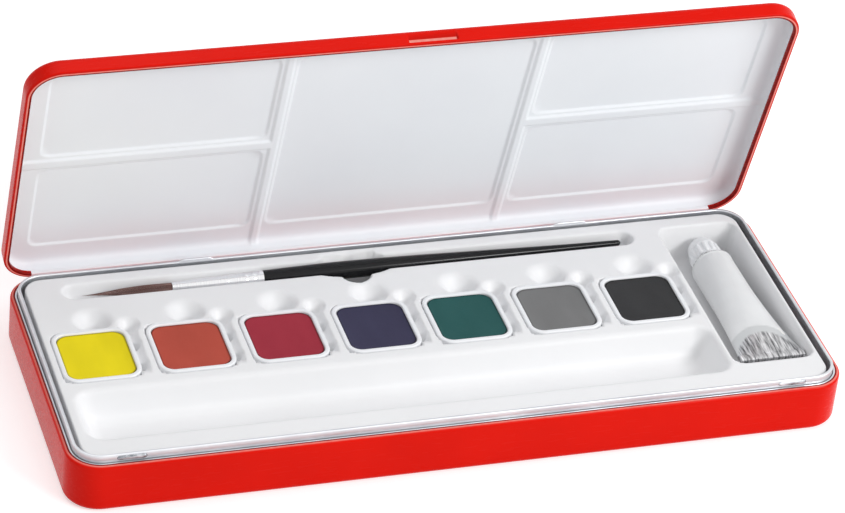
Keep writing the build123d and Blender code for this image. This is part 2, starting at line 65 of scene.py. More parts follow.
# Brush and tube
brush_z, brush_tip = 15.0, -94.8
hair_length, ferrule_length, handle_length = 27.2, 27.6, 112.0
tube_x, tube_z, shoulder_y = 98.6, 10.2, 23.5
tube_radius, tube_length = 6.5, 48.1

pan_places = [
    (pan_row_side + (number - (pan_count - 1) / 2) * pan_pitch, pan_row_back)
    for number in range(pan_count)
]


def fill_node(tree, kind, sockets=None, **settings):
    """A node with its settings, and with its sockets set to a value or joined to another node."""
    made = tree.nodes.new(kind)
    for name, value in settings.items():
        setattr(made, name, value)
    for name, value in (sockets or {}).items():
        if isinstance(value, bpy.types.NodeSocket):
            tree.links.new(value, made.inputs[name])
        else:
            made.inputs[name].default_value = value
    return made


# Finishes
def finish(name, **shader):
    """A material, its node tree and its one shader, with the values that are alike all over."""
    made = bpy.data.materials.new(name)
    made.use_nodes = True
    tree = made.node_tree
    principled = tree.nodes["Principled BSDF"]
    for socket, value in shader.items():
        principled.inputs[socket.replace("_", " ")].default_value = value
    return made, tree, principled


def grain(tree, scale, detail=3.0, stretch=(1, 1, 1), seed=0.0):
    """Noise on the piece's own coordinates, drawn out along one way if asked."""
    coordinates = fill_node(tree, "ShaderNodeTexCoord")
    mapping = fill_node(
        tree,
        "ShaderNodeMapping",
        {"Vector": coordinates.outputs["Object"], "Scale": stretch, "Location": (seed, -seed, seed)},
    )
    made = fill_node(
        tree,
        "ShaderNodeTexNoise",
        {"Vector": mapping.outputs["Vector"], "Scale": scale, "Detail": detail},
    )
    return made.outputs["Fac"]


def between(tree, amount, low, high):
    """A number that runs from low to high as the pattern does."""
    made = fill_node(
        tree,
        "ShaderNodeMapRange",
        {"Value": amount, "From Min": 0.3, "From Max": 0.7, "To Min": low, "To Max": high},
    )
    return made.outputs["Result"]


def maths(tree, operation, *values):
    """A number worked out from others."""
    return fill_node(
        tree, "ShaderNodeMath", dict(enumerate(values)), operation=operation
    ).outputs["Value"]


def tinted(tree, amount, first, second):
    """A colour between two, by the pattern."""
    ramp = fill_node(tree, "ShaderNodeValToRGB", {"Fac": amount})
    ramp.color_ramp.elements[0].position, ramp.color_ramp.elements[1].position = 0.3, 0.7
    ramp.color_ramp.elements[0].color = (*first, 1)
    ramp.color_ramp.elements[1].color = (*second, 1)
    return ramp.outputs["Color"]


def raised(tree, principled, height, depth, below=None):
    """A fine relief on a shader, that deep in metres."""
    sockets = {"Height": height, "Distance": depth, "Strength": 1.0}
    if below is not None:
        sockets["Normal"] = below
    bump = fill_node(tree, "ShaderNodeBump", sockets)
    tree.links.new(bump.outputs["Normal"], principled.inputs["Normal"])
    return bump.outputs["Normal"]


def blended(tree, amount, first, second):
    """One colour over another by an amount; each is a socket or a plain colour."""
    mix = fill_node(tree, "ShaderNodeMix", {"Factor": amount}, data_type="RGBA")
    for place, value in (("A", first), ("B", second)):
        socket = [s for s in mix.inputs if s.name == place and s.type == "RGBA"][0]
        if isinstance(value, bpy.types.NodeSocket):
            tree.links.new(value, socket)
        else:
            socket.default_value = (*value, 1)
    return [s for s in mix.outputs if s.type == "RGBA"][0]


def linear(red, green, blue):
    """A colour as it looks on a screen, 0 to 255, in the scene's own linear values."""
    return tuple(
        c / 12.92 if c <= 0.04045 else ((c + 0.055) / 1.055) ** 2.4
        for c in (red / 255, green / 255, blue / 255)
    )


def red_enamel():
    """Glossy red stoving enamel with a faint orange peel, with a painted highlight (pale) and painted shade (dark)
    along its edges and in its recesses.
    """
    made, tree, skin_shader = finish("red_enamel", Specular_IOR_Level=0.07)
    patches = grain(tree, 35)
    colour = tinted(tree, patches, linear(224, 20, 5), linear(233, 23, 7))
    # Painted highlight where the marked tone is above zero, painted shade where it is below zero
    tone = fill_node(tree, "ShaderNodeAttribute", attribute_name="painted_highlight_and_shade").outputs["Fac"]
    uneven = between(tree, grain(tree, 700, 3), 0.7, 1.0)
    for sign, shade in ((1.0, linear(242, 170, 157)), (-1.0, linear(78, 22, 20))):
        painted_light_amount = maths(tree, "MAXIMUM", maths(tree, "MULTIPLY", tone, sign), 0.0)
        colour = blended(tree, maths(tree, "MULTIPLY", painted_light_amount, uneven), colour, shade)
    tree.links.new(colour, skin_shader.inputs["Base Color"])
    scuffs = grain(tree, 900, 6, (0.15, 1, 1))
    tree.links.new(between(tree, scuffs, 0.2, 0.3), skin_shader.inputs["Roughness"])
    raised(tree, skin_shader, grain(tree, 260, 2), 0.00002)
    return made


def white_enamel():
    """The lid's smooth white lining, a touch blue."""
    made, tree, skin_shader = finish("white_enamel", Specular_IOR_Level=0.35)
    colour = tinted(tree, grain(tree, 22), linear(243, 246, 250), linear(247, 250, 253))
    tree.links.new(colour, skin_shader.inputs["Base Color"])
    tree.links.new(between(tree, grain(tree, 400, 5), 0.3, 0.42), skin_shader.inputs["Roughness"])
    raised(tree, skin_shader, grain(tree, 240, 2), 0.000015)
    return made


def bright_steel():
    """Tinned steel, drawn smooth along the band, with fine lines."""
    made, tree, skin_shader = finish("bright_steel", Metallic=0.8, Specular_IOR_Level=0.6)
    colour = tinted(tree, grain(tree, 60, 4), linear(206, 208, 213), linear(230, 232, 235))
    tree.links.new(colour, skin_shader.inputs["Base Color"])
    lines = grain(tree, 2600, 3, (0.04, 0.04, 1))
    tree.links.new(between(tree, lines, 0.3, 0.44), skin_shader.inputs["Roughness"])
    raised(tree, skin_shader, lines, 0.000004)
    return made


def crinkled_steel():
    """The steel of the pressed snap bars, darker and rougher in noise patches."""
    made, tree, skin_shader = finish("crinkled_steel", Metallic=0.8, Specular_IOR_Level=0.6)
    patches = grain(tree, 620, 3, (0.4, 1, 1), 3.0)
    colour = tinted(tree, patches, linear(92, 96, 104), linear(236, 239, 243))
    tree.links.new(colour, skin_shader.inputs["Base Color"])
    tree.links.new(between(tree, patches, 0.2, 0.4), skin_shader.inputs["Roughness"])
    raised(tree, skin_shader, patches, 0.00008)
    return made


def moulded_white(name, low, high, roughness):
    """White plastic sheet or moulding, with a soft unevenness."""
    made, tree, skin_shader = finish(name, Specular_IOR_Level=0.45)
    tree.links.new(tinted(tree, grain(tree, 30), low, high), skin_shader.inputs["Base Color"])
    speck = grain(tree, 700, 4)
    tree.links.new(
        between(tree, speck, roughness - 0.06, roughness + 0.06), skin_shader.inputs["Roughness"]
    )
    wave = raised(tree, skin_shader, grain(tree, 45, 2), 0.00008)
    raised(tree, skin_shader, speck, 0.000006, wave)
    return made


def dried_gouache(name, colour, seed):
    """A block of matt dried paint: fine chalky grain, a few lighter streaks, faint ripples and painted shade along its
    edge.
    """
    made, tree, skin_shader = finish(name, Specular_IOR_Level=0.1)
    dark = tuple(c * 0.93 for c in colour)
    light = tuple(min(1.0, c * 1.06 + 0.002) for c in colour)
    streaks = grain(tree, 110, 4, (1, 0.35, 1), seed)
    # Painted shade: much darker paint near the pan's wall and down the block's sides
    edge = fill_node(tree, "ShaderNodeAttribute", attribute_name="painted_edge_shade").outputs["Fac"]
    thick = tuple(c * 0.3 for c in colour)
    body = tinted(tree, streaks, dark, light)
    tree.links.new(blended(tree, edge, body, thick), skin_shader.inputs["Base Color"])
    chalk = grain(tree, 2200, 4, seed=seed)
    tree.links.new(between(tree, chalk, 0.5, 0.66), skin_shader.inputs["Roughness"])
    ripple = raised(tree, skin_shader, grain(tree, 190, 2, seed=seed), 0.00006)
    raised(tree, skin_shader, chalk, 0.000012, ripple)
    return made


def black_lacquer():
    """Many coats of black lacquer over turned wood."""
    made, tree, skin_shader = finish("black_lacquer", Specular_IOR_Level=0.2, Coat_Weight=0.12, Coat_Roughness=0.04)
    lines = grain(tree, 500, 4, (0.05, 1, 1))
    tree.links.new(
        tinted(tree, lines, (0.004, 0.004, 0.005), (0.009, 0.009, 0.010)),
        skin_shader.inputs["Base Color"],
    )
    tree.links.new(between(tree, lines, 0.12, 0.2), skin_shader.inputs["Roughness"])
    raised(tree, skin_shader, lines, 0.000006)
    return made


def nickel_plate():
    """Polished nickel on the seamless ferrule, with fine turning rings."""
    made, tree, skin_shader = finish("nickel", Metallic=1.0)
    rings = grain(tree, 3000, 2, (1, 0.02, 0.02))
    tree.links.new(
        tinted(tree, rings, linear(236, 237, 239), linear(249, 249, 250)),
        skin_shader.inputs["Base Color"],
    )
    tree.links.new(between(tree, rings, 0.06, 0.12), skin_shader.inputs["Roughness"])
    raised(tree, skin_shader, rings, 0.000001)
    return made


def brush_bristle():
    """Reddish brown hair, each strand its own shade."""
    made, tree, skin_shader = finish("brown_hair", Sheen_Weight=0.25, Sheen_Roughness=0.4)
    shade = fill_node(tree, "ShaderNodeAttribute", attribute_name="strand_shade")
    along = grain(tree, 300, 3, (0.2, 1, 1))
    mixed = fill_node(
        tree, "ShaderNodeMath", {0: shade.outputs["Fac"], 1: along}, operation="MULTIPLY_ADD"
    )
    mixed.inputs[2].default_value = 0.1
    colour = tinted(tree, mixed.outputs["Value"], linear(108, 70, 62), linear(214, 176, 166))
    tree.links.new(colour, skin_shader.inputs["Base Color"])
    tree.links.new(between(tree, along, 0.35, 0.5), skin_shader.inputs["Roughness"])
    return made


def lacquered_tube():
    """White lacquer on soft metal, left bare and scratched inside an arc at the folded tail."""
    made, tree, skin_shader = finish("tube_metal")
    bare = fill_node(tree, "ShaderNodeAttribute", attribute_name="bare_metal").outputs["Fac"]
    fine = grain(tree, 1500, 4, (1, 0.12, 0.4))
    white = tinted(tree, grain(tree, 60), linear(228, 229, 230), linear(236, 237, 238))
    silver = tinted(tree, fine, linear(70, 71, 74), linear(240, 240, 242))
    band = fill_node(tree, "ShaderNodeAttribute", attribute_name="dull_band").outputs["Fac"]
    white = blended(tree, band, white, linear(206, 208, 209))
    tree.links.new(blended(tree, bare, white, silver), skin_shader.inputs["Base Color"])
    tree.links.new(bare, skin_shader.inputs["Metallic"])
    tree.links.new(between(tree, fine, 0.28, 0.42), skin_shader.inputs["Roughness"])
    dents = raised(tree, skin_shader, grain(tree, 170, 3), 0.00012)
    raised(tree, skin_shader, fine, 0.00003, dents)
    return made


def sealing_rubber():
    """Grey sealing disc."""
    made, tree, skin_shader = finish("liner_rubber")
    tree.links.new(
        tinted(tree, grain(tree, 900), linear(150, 150, 150), linear(172, 172, 172)),
        skin_shader.inputs["Base Color"],
    )
    tree.links.new(between(tree, grain(tree, 1200), 0.55, 0.7), skin_shader.inputs["Roughness"])
    return made


RED = red_enamel()
WHITE_ENAMEL = white_enamel()
STEEL = bright_steel()
CRINKLED = crinkled_steel()
TRAY_PLASTIC = moulded_white("tray_plastic", linear(239, 239, 240), linear(243, 243, 244), 0.45)
PAN_PLASTIC = moulded_white("pan_plastic", linear(240, 241, 244), linear(246, 247, 249), 0.32)
CAP_PLASTIC = moulded_white("cap_plastic", linear(238, 239, 241), linear(244, 245, 247), 0.35)
LACQUER = black_lacquer()
NICKEL = nickel_plate()
HAIR = brush_bristle()
TUBE_METAL = lacquered_tube()
LINER = sealing_rubber()
SHADES = {
    "gouache_lemon_yellow": (240, 220, 24),
    "gouache_brick": (185, 80, 65),
    "gouache_crimson": (160, 48, 63),
    "gouache_indigo": (60, 58, 82),
    "gouache_green": (42, 88, 86),
    "gouache_grey": (123, 123, 123),
    "gouache_black": (57, 57, 58),
}
GOUACHE_SLOTS = list(SHADES)
GOUACHE = [
    dried_gouache(slot, linear(*colour), number * 3.7)
    for number, (slot, colour) in enumerate(SHADES.items())
]
GOUACHE_WHITE = dried_gouache("gouache_white", linear(244, 244, 242), 40.0)


# Building
def piece(name, points, faces, finishes, face_finishes=None, crease=40):
    """A closed mesh from points in millimetres, turned to face outwards, with its finishes."""
    shape = bmesh.new()
    corners = [shape.verts.new([MM * c for c in point]) for point in points]
    for number, face in enumerate(faces):
        made = shape.faces.new([corners[corner] for corner in face])
        made.smooth = True
        if face_finishes:
            made.material_index = face_finishes[number]
    if shape.calc_volume(signed=True) < 0:
        bmesh.ops.reverse_faces(shape, faces=shape.faces)
    mesh = bpy.data.meshes.new(name)
    shape.to_mesh(mesh)
    shape.free()
    for material in finishes:
        mesh.materials.append(material)
    mesh.set_sharp_from_angle(angle=math.radians(crease))
    made = bpy.data.objects.new(name, mesh)
    bpy.context.scene.collection.objects.link(made)
    return made


def drawn_through(rings, closed=False):
    """Points and faces of a skin through rings of equally many points, its ends closed flat."""
    count = len(rings[0])
    points = [point for ring in rings for point in ring]
    faces = []
    followers = list(range(1, len(rings))) + ([0] if closed else [])
    for near, far in enumerate(followers):
        for step in range(count):
            after = (step + 1) % count
            faces.append(
                (near * count + step, near * count + after, far * count + after, far * count + step)
            )
    if not closed:
        last = (len(rings) - 1) * count
        faces.append(tuple(range(count - 1, -1, -1)))
        faces.append(tuple(range(last, last + count)))
    return points, faces


def arc(centre, radius, start, end, steps):
    """Points of an arc, from one angle to another in degrees."""
    turns = [math.radians(start + (end - start) * step / steps) for step in range(steps + 1)]
    return [(centre[0] + radius * math.cos(t), centre[1] + radius * math.sin(t)) for t in turns]


def rounded_outline(half_length, half_width, radius, arc_steps, long_steps=1, short_steps=1):
    """Points round a rounded rectangle, anticlockwise."""
    points = []
    sides = ((1, 1, 0, long_steps), (-1, 1, 90, short_steps), (-1, -1, 180, long_steps))
    for x_sign, y_sign, start, steps in (*sides, (1, -1, 270, short_steps)):
        centre = (x_sign * (half_length - radius), y_sign * (half_width - radius))
        bend = arc(centre, radius, start, start + 90, arc_steps)
        points += bend
        after = {0: (-1, 1), 90: (-1, -1), 180: (1, -1), 270: (1, 1)}[start]
        turn = math.radians(start + 90)
        goal = (
            after[0] * (half_length - radius) + radius * math.cos(turn),
            after[1] * (half_width - radius) + radius * math.sin(turn),
        )
        for step in range(1, steps):
            share = step / steps
            points.append(tuple(a + (b - a) * share for a, b in zip(bend[-1], goal)))
    return points


def box_ring(inset, height):
    """The box's outline drawn in by an amount, at one height."""
    outline = rounded_outline(
        box_length / 2 - inset, box_width / 2 - inset, corner_radius - inset, 14, 24, 10
    )
    return [(x, y, height) for x, y in outline]


def graded_lines(start, end, coarse, zones):
    """Grid lines from start to end, closer together in zones of (low, high, spacing)."""
    samples = np.linspace(start, end, 4001)
    density = np.full_like(samples, 1 / coarse)
    for low, high, spacing in zones:
        inside = (samples >= low) & (samples <= high)
        density[inside] = np.maximum(density[inside], 1 / spacing)
    total = np.concatenate([[0], np.cumsum((density[1:] + density[:-1]) / 2 * np.diff(samples))])
    count = max(2, int(round(total[-1])))
    return np.interp(np.linspace(0, total[-1], count + 1), total, samples)


def panel_grid(half_length, half_width, radius, across, along):
    """A grid of points over a rounded rectangle: its corner squares are bent to the corners."""
    x, y = np.meshgrid(across, along, indexing="ij")
    core_x, core_y = half_length - radius, half_width - radius
    over_x = np.clip((np.abs(x) - core_x) / radius, 0, 1)
    over_y = np.clip((np.abs(y) - core_y) / radius, 0, 1)
    corner = (over_x > 0) & (over_y > 0)
    bent_x = np.sign(x) * (core_x + radius * over_x * np.sqrt(1 - over_y**2 / 2))
    bent_y = np.sign(y) * (core_y + radius * over_y * np.sqrt(1 - over_x**2 / 2))
    return np.where(corner, bent_x, x), np.where(corner, bent_y, y)


def border_order(rows, columns):
    """The grid's border points in order, anticlockwise from its first corner."""
    order = [(i, 0) for i in range(rows - 1)]
    order += [(rows - 1, j) for j in range(columns - 1)]
    order += [(i, columns - 1) for i in range(rows - 1, 0, -1)]
    order += [(0, j) for j in range(columns - 1, 0, -1)]
    return order


def grid_faces(rows, columns, first, flip=False):
    """The faces between a grid's points, numbered from first."""
    faces = []
    for i in range(rows - 1):
        for j in range(columns - 1):
            corner = first + i * columns + j
            face = (corner, corner + columns, corner + columns + 1, corner + 1)
            faces.append(face[::-1] if flip else face)
    return faces


def way_out(x, y, half_length, half_width, radius):
    """The direction straight out of a rounded rectangle's edge at a point on it."""
    near_x = min(max(x, radius - half_length), half_length - radius)
    near_y = min(max(y, radius - half_width), half_width - radius)
    length = math.hypot(x - near_x, y - near_y)
    return (x - near_x) / length, (y - near_y) / length


def inside_rectangle(x, y, half_length, half_width, radius):
    """How far points lie inside a rounded rectangle, below zero outside it."""
    over_x = np.abs(x) - half_length + radius
    over_y = np.abs(y) - half_width + radius
    outside = np.hypot(np.maximum(over_x, 0), np.maximum(over_y, 0))
    return radius - outside - np.minimum(np.maximum(over_x, over_y), 0)


def soft_step(distance, run):
    """From 0 to 1 as the distance passes over a slope of that run, smoothly."""
    t = np.clip(distance / run + 0.5, 0, 1)
    return t * t * (3 - 2 * t)


# Base and collar
def toned(made, tones):
    """Mark the painted light on each point of a red piece: above zero a painted highlight, below zero painted shade."""
    mark = made.data.attributes.new("painted_highlight_and_shade", "FLOAT", "POINT")
    mark.data.foreach_set("value", tones)
    return made


def cut_open(made, openings):
    """The piece with box-shaped openings cut through its sheet."""
    shape = bmesh.new()
    for low, high in openings:
        for vertex in bmesh.ops.create_cube(shape, size=1.0)["verts"]:
            for k in range(3):
                vertex.co[k] = MM * (low[k] + (vertex.co[k] + 0.5) * (high[k] - low[k]))
    mesh = bpy.data.meshes.new("openings")
    shape.to_mesh(mesh)
    shape.free()
    cutter = bpy.data.objects.new("openings", mesh)
    bpy.context.scene.collection.objects.link(cutter)
    cut = made.modifiers.new("openings", "BOOLEAN")
    cut.operation, cut.solver, cut.object = "DIFFERENCE", "EXACT", cutter
    settled(made)
    bpy.data.objects.remove(cutter)
    made.data.set_sharp_from_angle(angle=math.radians(40))
    return made


def base_pressing():
    """The red dish: rounded foot and shoulder, a flange up to the collar, two hinge openings."""
    foot, shoulder, lip = 2.0, 0.9, 0.24
    lip_inset = neck_inset - 0.2
    profile = [(foot + 1.5, 0, 0)]
    profile += [(*point, 0) for point in arc((foot, foot), foot, -90, -180, 8)]
    bend = arc((shoulder, base_height - shoulder), shoulder, 180, 90, 8)
    # Painted highlight along the shoulder's crest
    profile += [(*point, (0, 0, 0, 0, 0, 0.15, 0.5, 0.75, 0.5)[k]) for k, point in enumerate(bend)]
    # Painted shade on the flange and lip at the foot of the collar, lighter painted shade inside the shoulder
    profile += [(inset, base_height, -1.0) for inset in (1.05, 1.4)]
    flange_start = len(profile)
    profile += [(1.42, base_height, -1.0)]
    profile += [(*point, -1.0) for point in arc((lip_inset - lip, base_height - lip), lip, 90, -90, 6)]
    profile += [(*point, -0.3) for point in arc((shoulder, base_height - shoulder), shoulder - sheet, 90, 180, 5)]
    profile += [(*point, 0) for point in arc((foot, foot), foot - sheet, 180, 270, 6)]
    profile += [(foot + 1.5, sheet, 0)]
    rings = [box_ring(inset, height) for inset, height, _ in profile]
    points, faces = drawn_through(rings)
    around = len(rings[0])
    bare = [flange_start <= number // around < flange_start + 7 for number in range(len(faces))]
    made = piece("base_pressing", points, faces, [RED, STEEL], [int(b) for b in bare])
    toned(made, [tone for _, _, tone in profile for _ in range(around)])
    return cut_open(made, [
        (
            (side * hinge_place - notch_width / 2, box_width / 2 - 1.7, hinge_z - 1.4),
            (side * hinge_place + notch_width / 2, box_width / 2 + 1.1, base_height + 1.0),
        )
        for side in (-1, 1)
    ])


def collar_band():
    """The bright band: a straight wall with its top rolled over inwards."""
    bend, width = 0.32, 0.9
    top = base_height + neck_rise
    foot = base_height - sheet - 4.0
    profile = [(neck_inset, foot), (neck_inset, base_height), (neck_inset, top - bend - 0.2)]
    profile += arc((neck_inset + bend, top - bend), bend, 180, 90, 6)
    profile += arc((neck_inset + width - bend, top - bend), bend, 90, -90, 10)
    profile += [(neck_inset + sheet + 0.1, top - 2 * bend - 0.1), (neck_inset + sheet, top - 2 * bend - 0.4)]
    profile += [(neck_inset + sheet, foot)]
    points, faces = drawn_through([box_ring(i, z) for i, z in profile], closed=True)
    return piece("collar_band", points, faces, [STEEL])


def snap_bar(name, side):
    """A bar pressed out of the collar's front, soft at its edges and ends, a little crinkled."""
    centre = (neck_inset - box_width / 2, base_height + 1.15)
    depth, half_height = 0.4, 0.7
    rings = []
    for step in range(33):
        share = step / 32
        x = side + (share - 0.5) * snap_length
        end = min(share, 1 - share) * snap_length / 0.9
        swell = math.sqrt(max(0.02, 1 - max(0.0, 1 - end) ** 2))
        ring = []
        for turn in range(20):
            angle = 2 * math.pi * turn / 20
            out = math.copysign(abs(math.cos(angle)) ** 0.7, math.cos(angle))
            up = math.copysign(abs(math.sin(angle)) ** 0.7, math.sin(angle))
            crinkle = 1 + 0.16 * noise.noise((x * 1.3 + side, out * 1.5, up * 1.5))
            ring.append(
                (x, centre[0] - depth * out * swell * crinkle, centre[1] + half_height * up * swell)
            )
        rings.append(ring)
    points, faces = drawn_through(rings)
    return piece(name, points, faces, [CRINKLED])


def guard_ridge(name, side):
    """The collar's raised guard beside a hinge, sloping off at both ends."""
    centre_y = box_width / 2 - neck_inset - 0.5
    low, rise, half_width = base_height + neck_rise - 0.6, 1.3, 0.36
    rings = []
    for step in range(25):
        share = step / 24
        x = side + (share - 0.5) * 12.2
        slope = min(1.0, min(share, 1 - share) * 12.2 / 2.2)
        top = 0.35 + (rise - 0.35) * slope * slope * (3 - 2 * slope)
        ring = [(x, centre_y - half_width, low), (x, centre_y + half_width, low)]
        bend = arc((0, top - half_width), half_width, 0, 180, 8)
        ring += [(x, centre_y + y, low + max(0.01, z)) for y, z in bend]
        rings.append(ring)
    points, faces = drawn_through(rings)
    return piece(name, points, faces, [STEEL])


def hinge_ears(name, side):
    """Both ears of one hinge: the back wall's sheet rolled round the pin, open at its seam."""
    roll = arc((0, 0), knuckle_radius, -78, 262, 34) + arc((0, 0), pin_bore, 262, -78, 24)
    points, faces = [], []
    for low, high in ((-hinge_width / 2, -notch_width / 2), (notch_width / 2, hinge_width / 2)):
        rings = [
            [(side + x, hinge_y + y * k, hinge_z + z * k) for y, z in roll]
            for x, k in ((low, 0.96), (low + 0.1, 1.0), (high - 0.1, 1.0), (high, 0.96))
        ]
        more_points, more_faces = drawn_through(rings)
        shift = len(points)
        points += more_points
        faces += [tuple(corner + shift for corner in face) for face in more_faces]
    return piece(name, points, faces, [RED])


# Lid
lid_tilt = math.radians(lid_open_angle)


def lid_point(x, y, z):
    """A point of the lid, from its place on the closed lid's rim to its place on the open lid."""
    from_hinge, up = y + hinge_inset - box_width / 2, z + hinge_drop
    return (
        x,
        hinge_y + from_hinge * math.cos(lid_tilt) + up * math.sin(lid_tilt),
        hinge_z - from_hinge * math.sin(lid_tilt) + up * math.cos(lid_tilt),
    )


column_edge = box_length / 2 - rim_margin
row_edge = box_width / 2 - rim_margin
inner_edge = ridge_place + ridge_width / 2 + well_margin
centre_edge = ridge_place - ridge_width / 2 - well_margin
row_start = cross_ridge_width / 2 + well_margin


def lid_relief(x, y):
    """How far the pressed wells and ridges raise or lower the lid's sheet."""
    wells = inside_rectangle(x, y, centre_edge, row_edge, well_radius)
    middle_x, middle_y = (column_edge + inner_edge) / 2, (row_edge + row_start) / 2
    for x_sign in (-1, 1):
        for y_sign in (-1, 1):
            well = inside_rectangle(
                x - x_sign * middle_x,
                y - y_sign * middle_y,
                (column_edge - inner_edge) / 2,
                (row_edge - row_start) / 2,
                well_radius,
            )
            wells = np.maximum(wells, well)
    upright = ridge_width / 2 - np.abs(np.abs(x) - ridge_place)
    level = np.minimum(cross_ridge_width / 2 - np.abs(y), np.abs(x) - ridge_place)
    ridges = np.maximum(upright, level)
    return 0.6 * soft_step(wells, 1.0) - 0.6 * soft_step(ridges, 1.1)


def thumb_dent(place, height):
    """How deep the thumb recess is at a place along the front wall: a slope, then a floor."""
    within = float(soft_step(np.float64(thumb_length / 2 - abs(place - thumb_place)), 0.6))
    levels = (thumb_low - 0.1, thumb_low + 0.25, thumb_low + 1.2, thumb_high)
    return within * float(np.interp(height, levels, (0.0, thumb_depth, thumb_depth, 0.0)))


def lid_pressing():
    """One sheet, red outside and white inside, with wells, a folded hem and a thumb recess."""
    soft, inner_soft = 2.2, 1.7
    half_length, half_width, radius = box_length / 2, box_width / 2, corner_radius
    reach_x, reach_y = half_length - soft, half_width - soft
    edges_x = [s * e for s in (-1, 1) for e in (centre_edge, inner_edge, column_edge)]
    zones_x = [(e - 0.8, e + 0.8, 0.22) for e in edges_x]
    zones_x += [(s * ridge_place - 2, s * ridge_place + 2, 0.25) for s in (-1, 1)]
    zones_x += [(s * reach_x - 9, s * reach_x + 9, 0.6) for s in (-1, 1)]
    thumb_ends = [thumb_place + s * thumb_length / 2 for s in (-1, 1)]
    zones_x += [(e - 0.8, e + 0.8, 0.2) for e in thumb_ends]
    zones_y = [(s * e - 0.8, s * e + 0.8, 0.22) for s in (-1, 1) for e in (row_start, row_edge)]
    zones_y += [(-2.6, 2.6, 0.25)] + [(s * reach_y - 9, s * reach_y + 9, 0.6) for s in (-1, 1)]
    across = graded_lines(-reach_x, reach_x, 2.2, zones_x)
    along = graded_lines(-reach_y, reach_y, 2.2, zones_y)
    x, y = panel_grid(reach_x, reach_y, radius - soft, across, along)
    relief = lid_relief(x, y)
    rows, columns = x.shape
    cell_level = lid_height - sheet
    order = border_order(rows, columns)
    ways = [way_out(x[i, j], y[i, j], reach_x, reach_y, radius - soft) for i, j in order]

    # Round the edge from the white panel over the hem to the red panel
    thumb_levels = [thumb_low - 0.1, thumb_low + 0.08, thumb_low + 0.25, thumb_low + 0.4]
    thumb_levels += [thumb_low + 0.8, thumb_low + 1.05, thumb_low + 1.2, thumb_low + 1.4, 3.0, 3.5]
    profile = [(*p, 0) for p in arc((soft, cell_level - inner_soft), inner_soft, 90, 180, 8)[1:]]
    profile += [(sheet, z, 0) for z in reversed(thumb_levels) if z > 1.75]
    white_rings = len(profile)
    # Painted shade on the hem's inner flank and a painted highlight along its crest
    profile += [(0.56, 1.62, -0.5), (0.8, 1.52, -0.6)]
    profile += [(*p, -0.6) for p in arc((1.3, 1.12), 0.4, 90, 0, 4)]
    profile += [(*p, -0.9) for p in arc((1.3, 0.4), 0.4, 0, -60, 3)]
    profile += [(1.3, 0.05, -1), (1.18, 0.05, -0.9), (1.06, 0.05, 0.0), (0.95, 0.05, 0.9)]
    profile += [(0.75, 0.05, 0.95), (0.6, 0.06, 0.3), (0.46, 0.09, -0.1), (0.32, 0.14, -0.3)]
    profile += [(0.16, 0.2, -0.25), (0.05, 0.32, 0.0), (0.0, 0.5, 0)]
    profile += [(0, z, 0) for z in thumb_levels]
    profile += [(*p, 0) for p in arc((soft, lid_height - soft), soft, 180, 90, 9)[:-1]]
    rings, tones = [], [0.0] * (2 * rows * columns)
    for number, (inset, height, tone) in enumerate(profile):
        ring = []
        fade = min(1.0, max(0.0, (height - 2.4) / 2.6)) if number < white_rings else 0.0
        give = min(1.0, max(0.0, (1.5 - inset) / 1.2))
        for (i, j), (out_x, out_y) in zip(order, ways):
            px, py = x[i, j] + out_x * (soft - inset), y[i, j] + out_y * (soft - inset)
            dent = give * thumb_dent(px, height) if out_y < -0.9 and height > 0.7 else 0.0
            ring.append((px, py + dent, height + relief[i, j] * fade))
            # Painted highlight on the thumb recess's floor, painted shade on its slopes
            outside = dent if inset == 0 else 0.0
            floor = outside > thumb_depth * 0.97
            tones.append(0.95 if floor else tone - 0.4 * outside / thumb_depth)
        rings.append(ring)

    inner = [(x[i, j], y[i, j], cell_level + relief[i, j]) for i in range(rows) for j in range(columns)]
    edge = np.clip(inside_rectangle(x, y, reach_x, reach_y, radius - soft) / 2.0, 0, 1)
    outer = [
        (x[i, j], y[i, j], lid_height + relief[i, j] * edge[i, j])
        for i in range(rows) for j in range(columns)
    ]
    points = inner + outer + [point for ring in rings for point in ring]
    faces = grid_faces(rows, columns, 0, flip=True) + grid_faces(rows, columns, len(inner))
    finishes = [0] * ((rows - 1) * (columns - 1)) + [1] * ((rows - 1) * (columns - 1))
    loops = [[i * columns + j for i, j in order]]
    for number in range(len(rings)):
        start = 2 * len(inner) + number * len(order)
        loops.append(list(range(start, start + len(order))))
    loops.append([len(inner) + i * columns + j for i, j in order])
    hem_flank = white_rings + 21
    for number, (near, far) in enumerate(zip(loops, loops[1:])):
        for step in range(len(order)):
            after = (step + 1) % len(order)
            faces.append((near[step], near[after], far[after], far[step]))
            at_hinges = ways[step][1] > 0.99 and ways[after][1] > 0.99
            white = number < white_rings + 1 or (at_hinges and number < hem_flank)
            finishes.append(0 if white else 1)
    points = [lid_point(*point) for point in points]
    made = piece("lid_pressing", points, faces, [WHITE_ENAMEL, RED], finishes)
    return toned(made, tones)


def lid_tongue(name, side):
    """The lid's hinge tongue: its back wall's sheet rolled round the pin between the ears."""
    reach, half_width = hinge_drop + 0.5, notch_width / 2 - 0.3
    meets = math.degrees(math.acos(hinge_inset / knuckle_radius))
    leaves = math.degrees(math.acos((hinge_inset - sheet) / knuckle_radius))
    outline = [(hinge_inset, reach)] + arc((0, 0), knuckle_radius, meets, -238, 32)
    outline += arc((0, 0), pin_bore, -238, leaves, 26)
    outline += [(hinge_inset - sheet, knuckle_radius), (hinge_inset - sheet, reach)]
    cos, sin = math.cos(lid_tilt), math.sin(lid_tilt)
    rings = []
    for x, k in ((-half_width, 0.96), (0.1 - half_width, 1.0), (half_width - 0.1, 1.0), (half_width, 0.96)):
        rings.append(
            [(side + x, hinge_y + y * k * cos + z * k * sin, hinge_z - y * k * sin + z * k * cos)
             for y, z in outline]
        )
    points, faces = drawn_through(rings)
    return piece(name, points, faces, [RED])


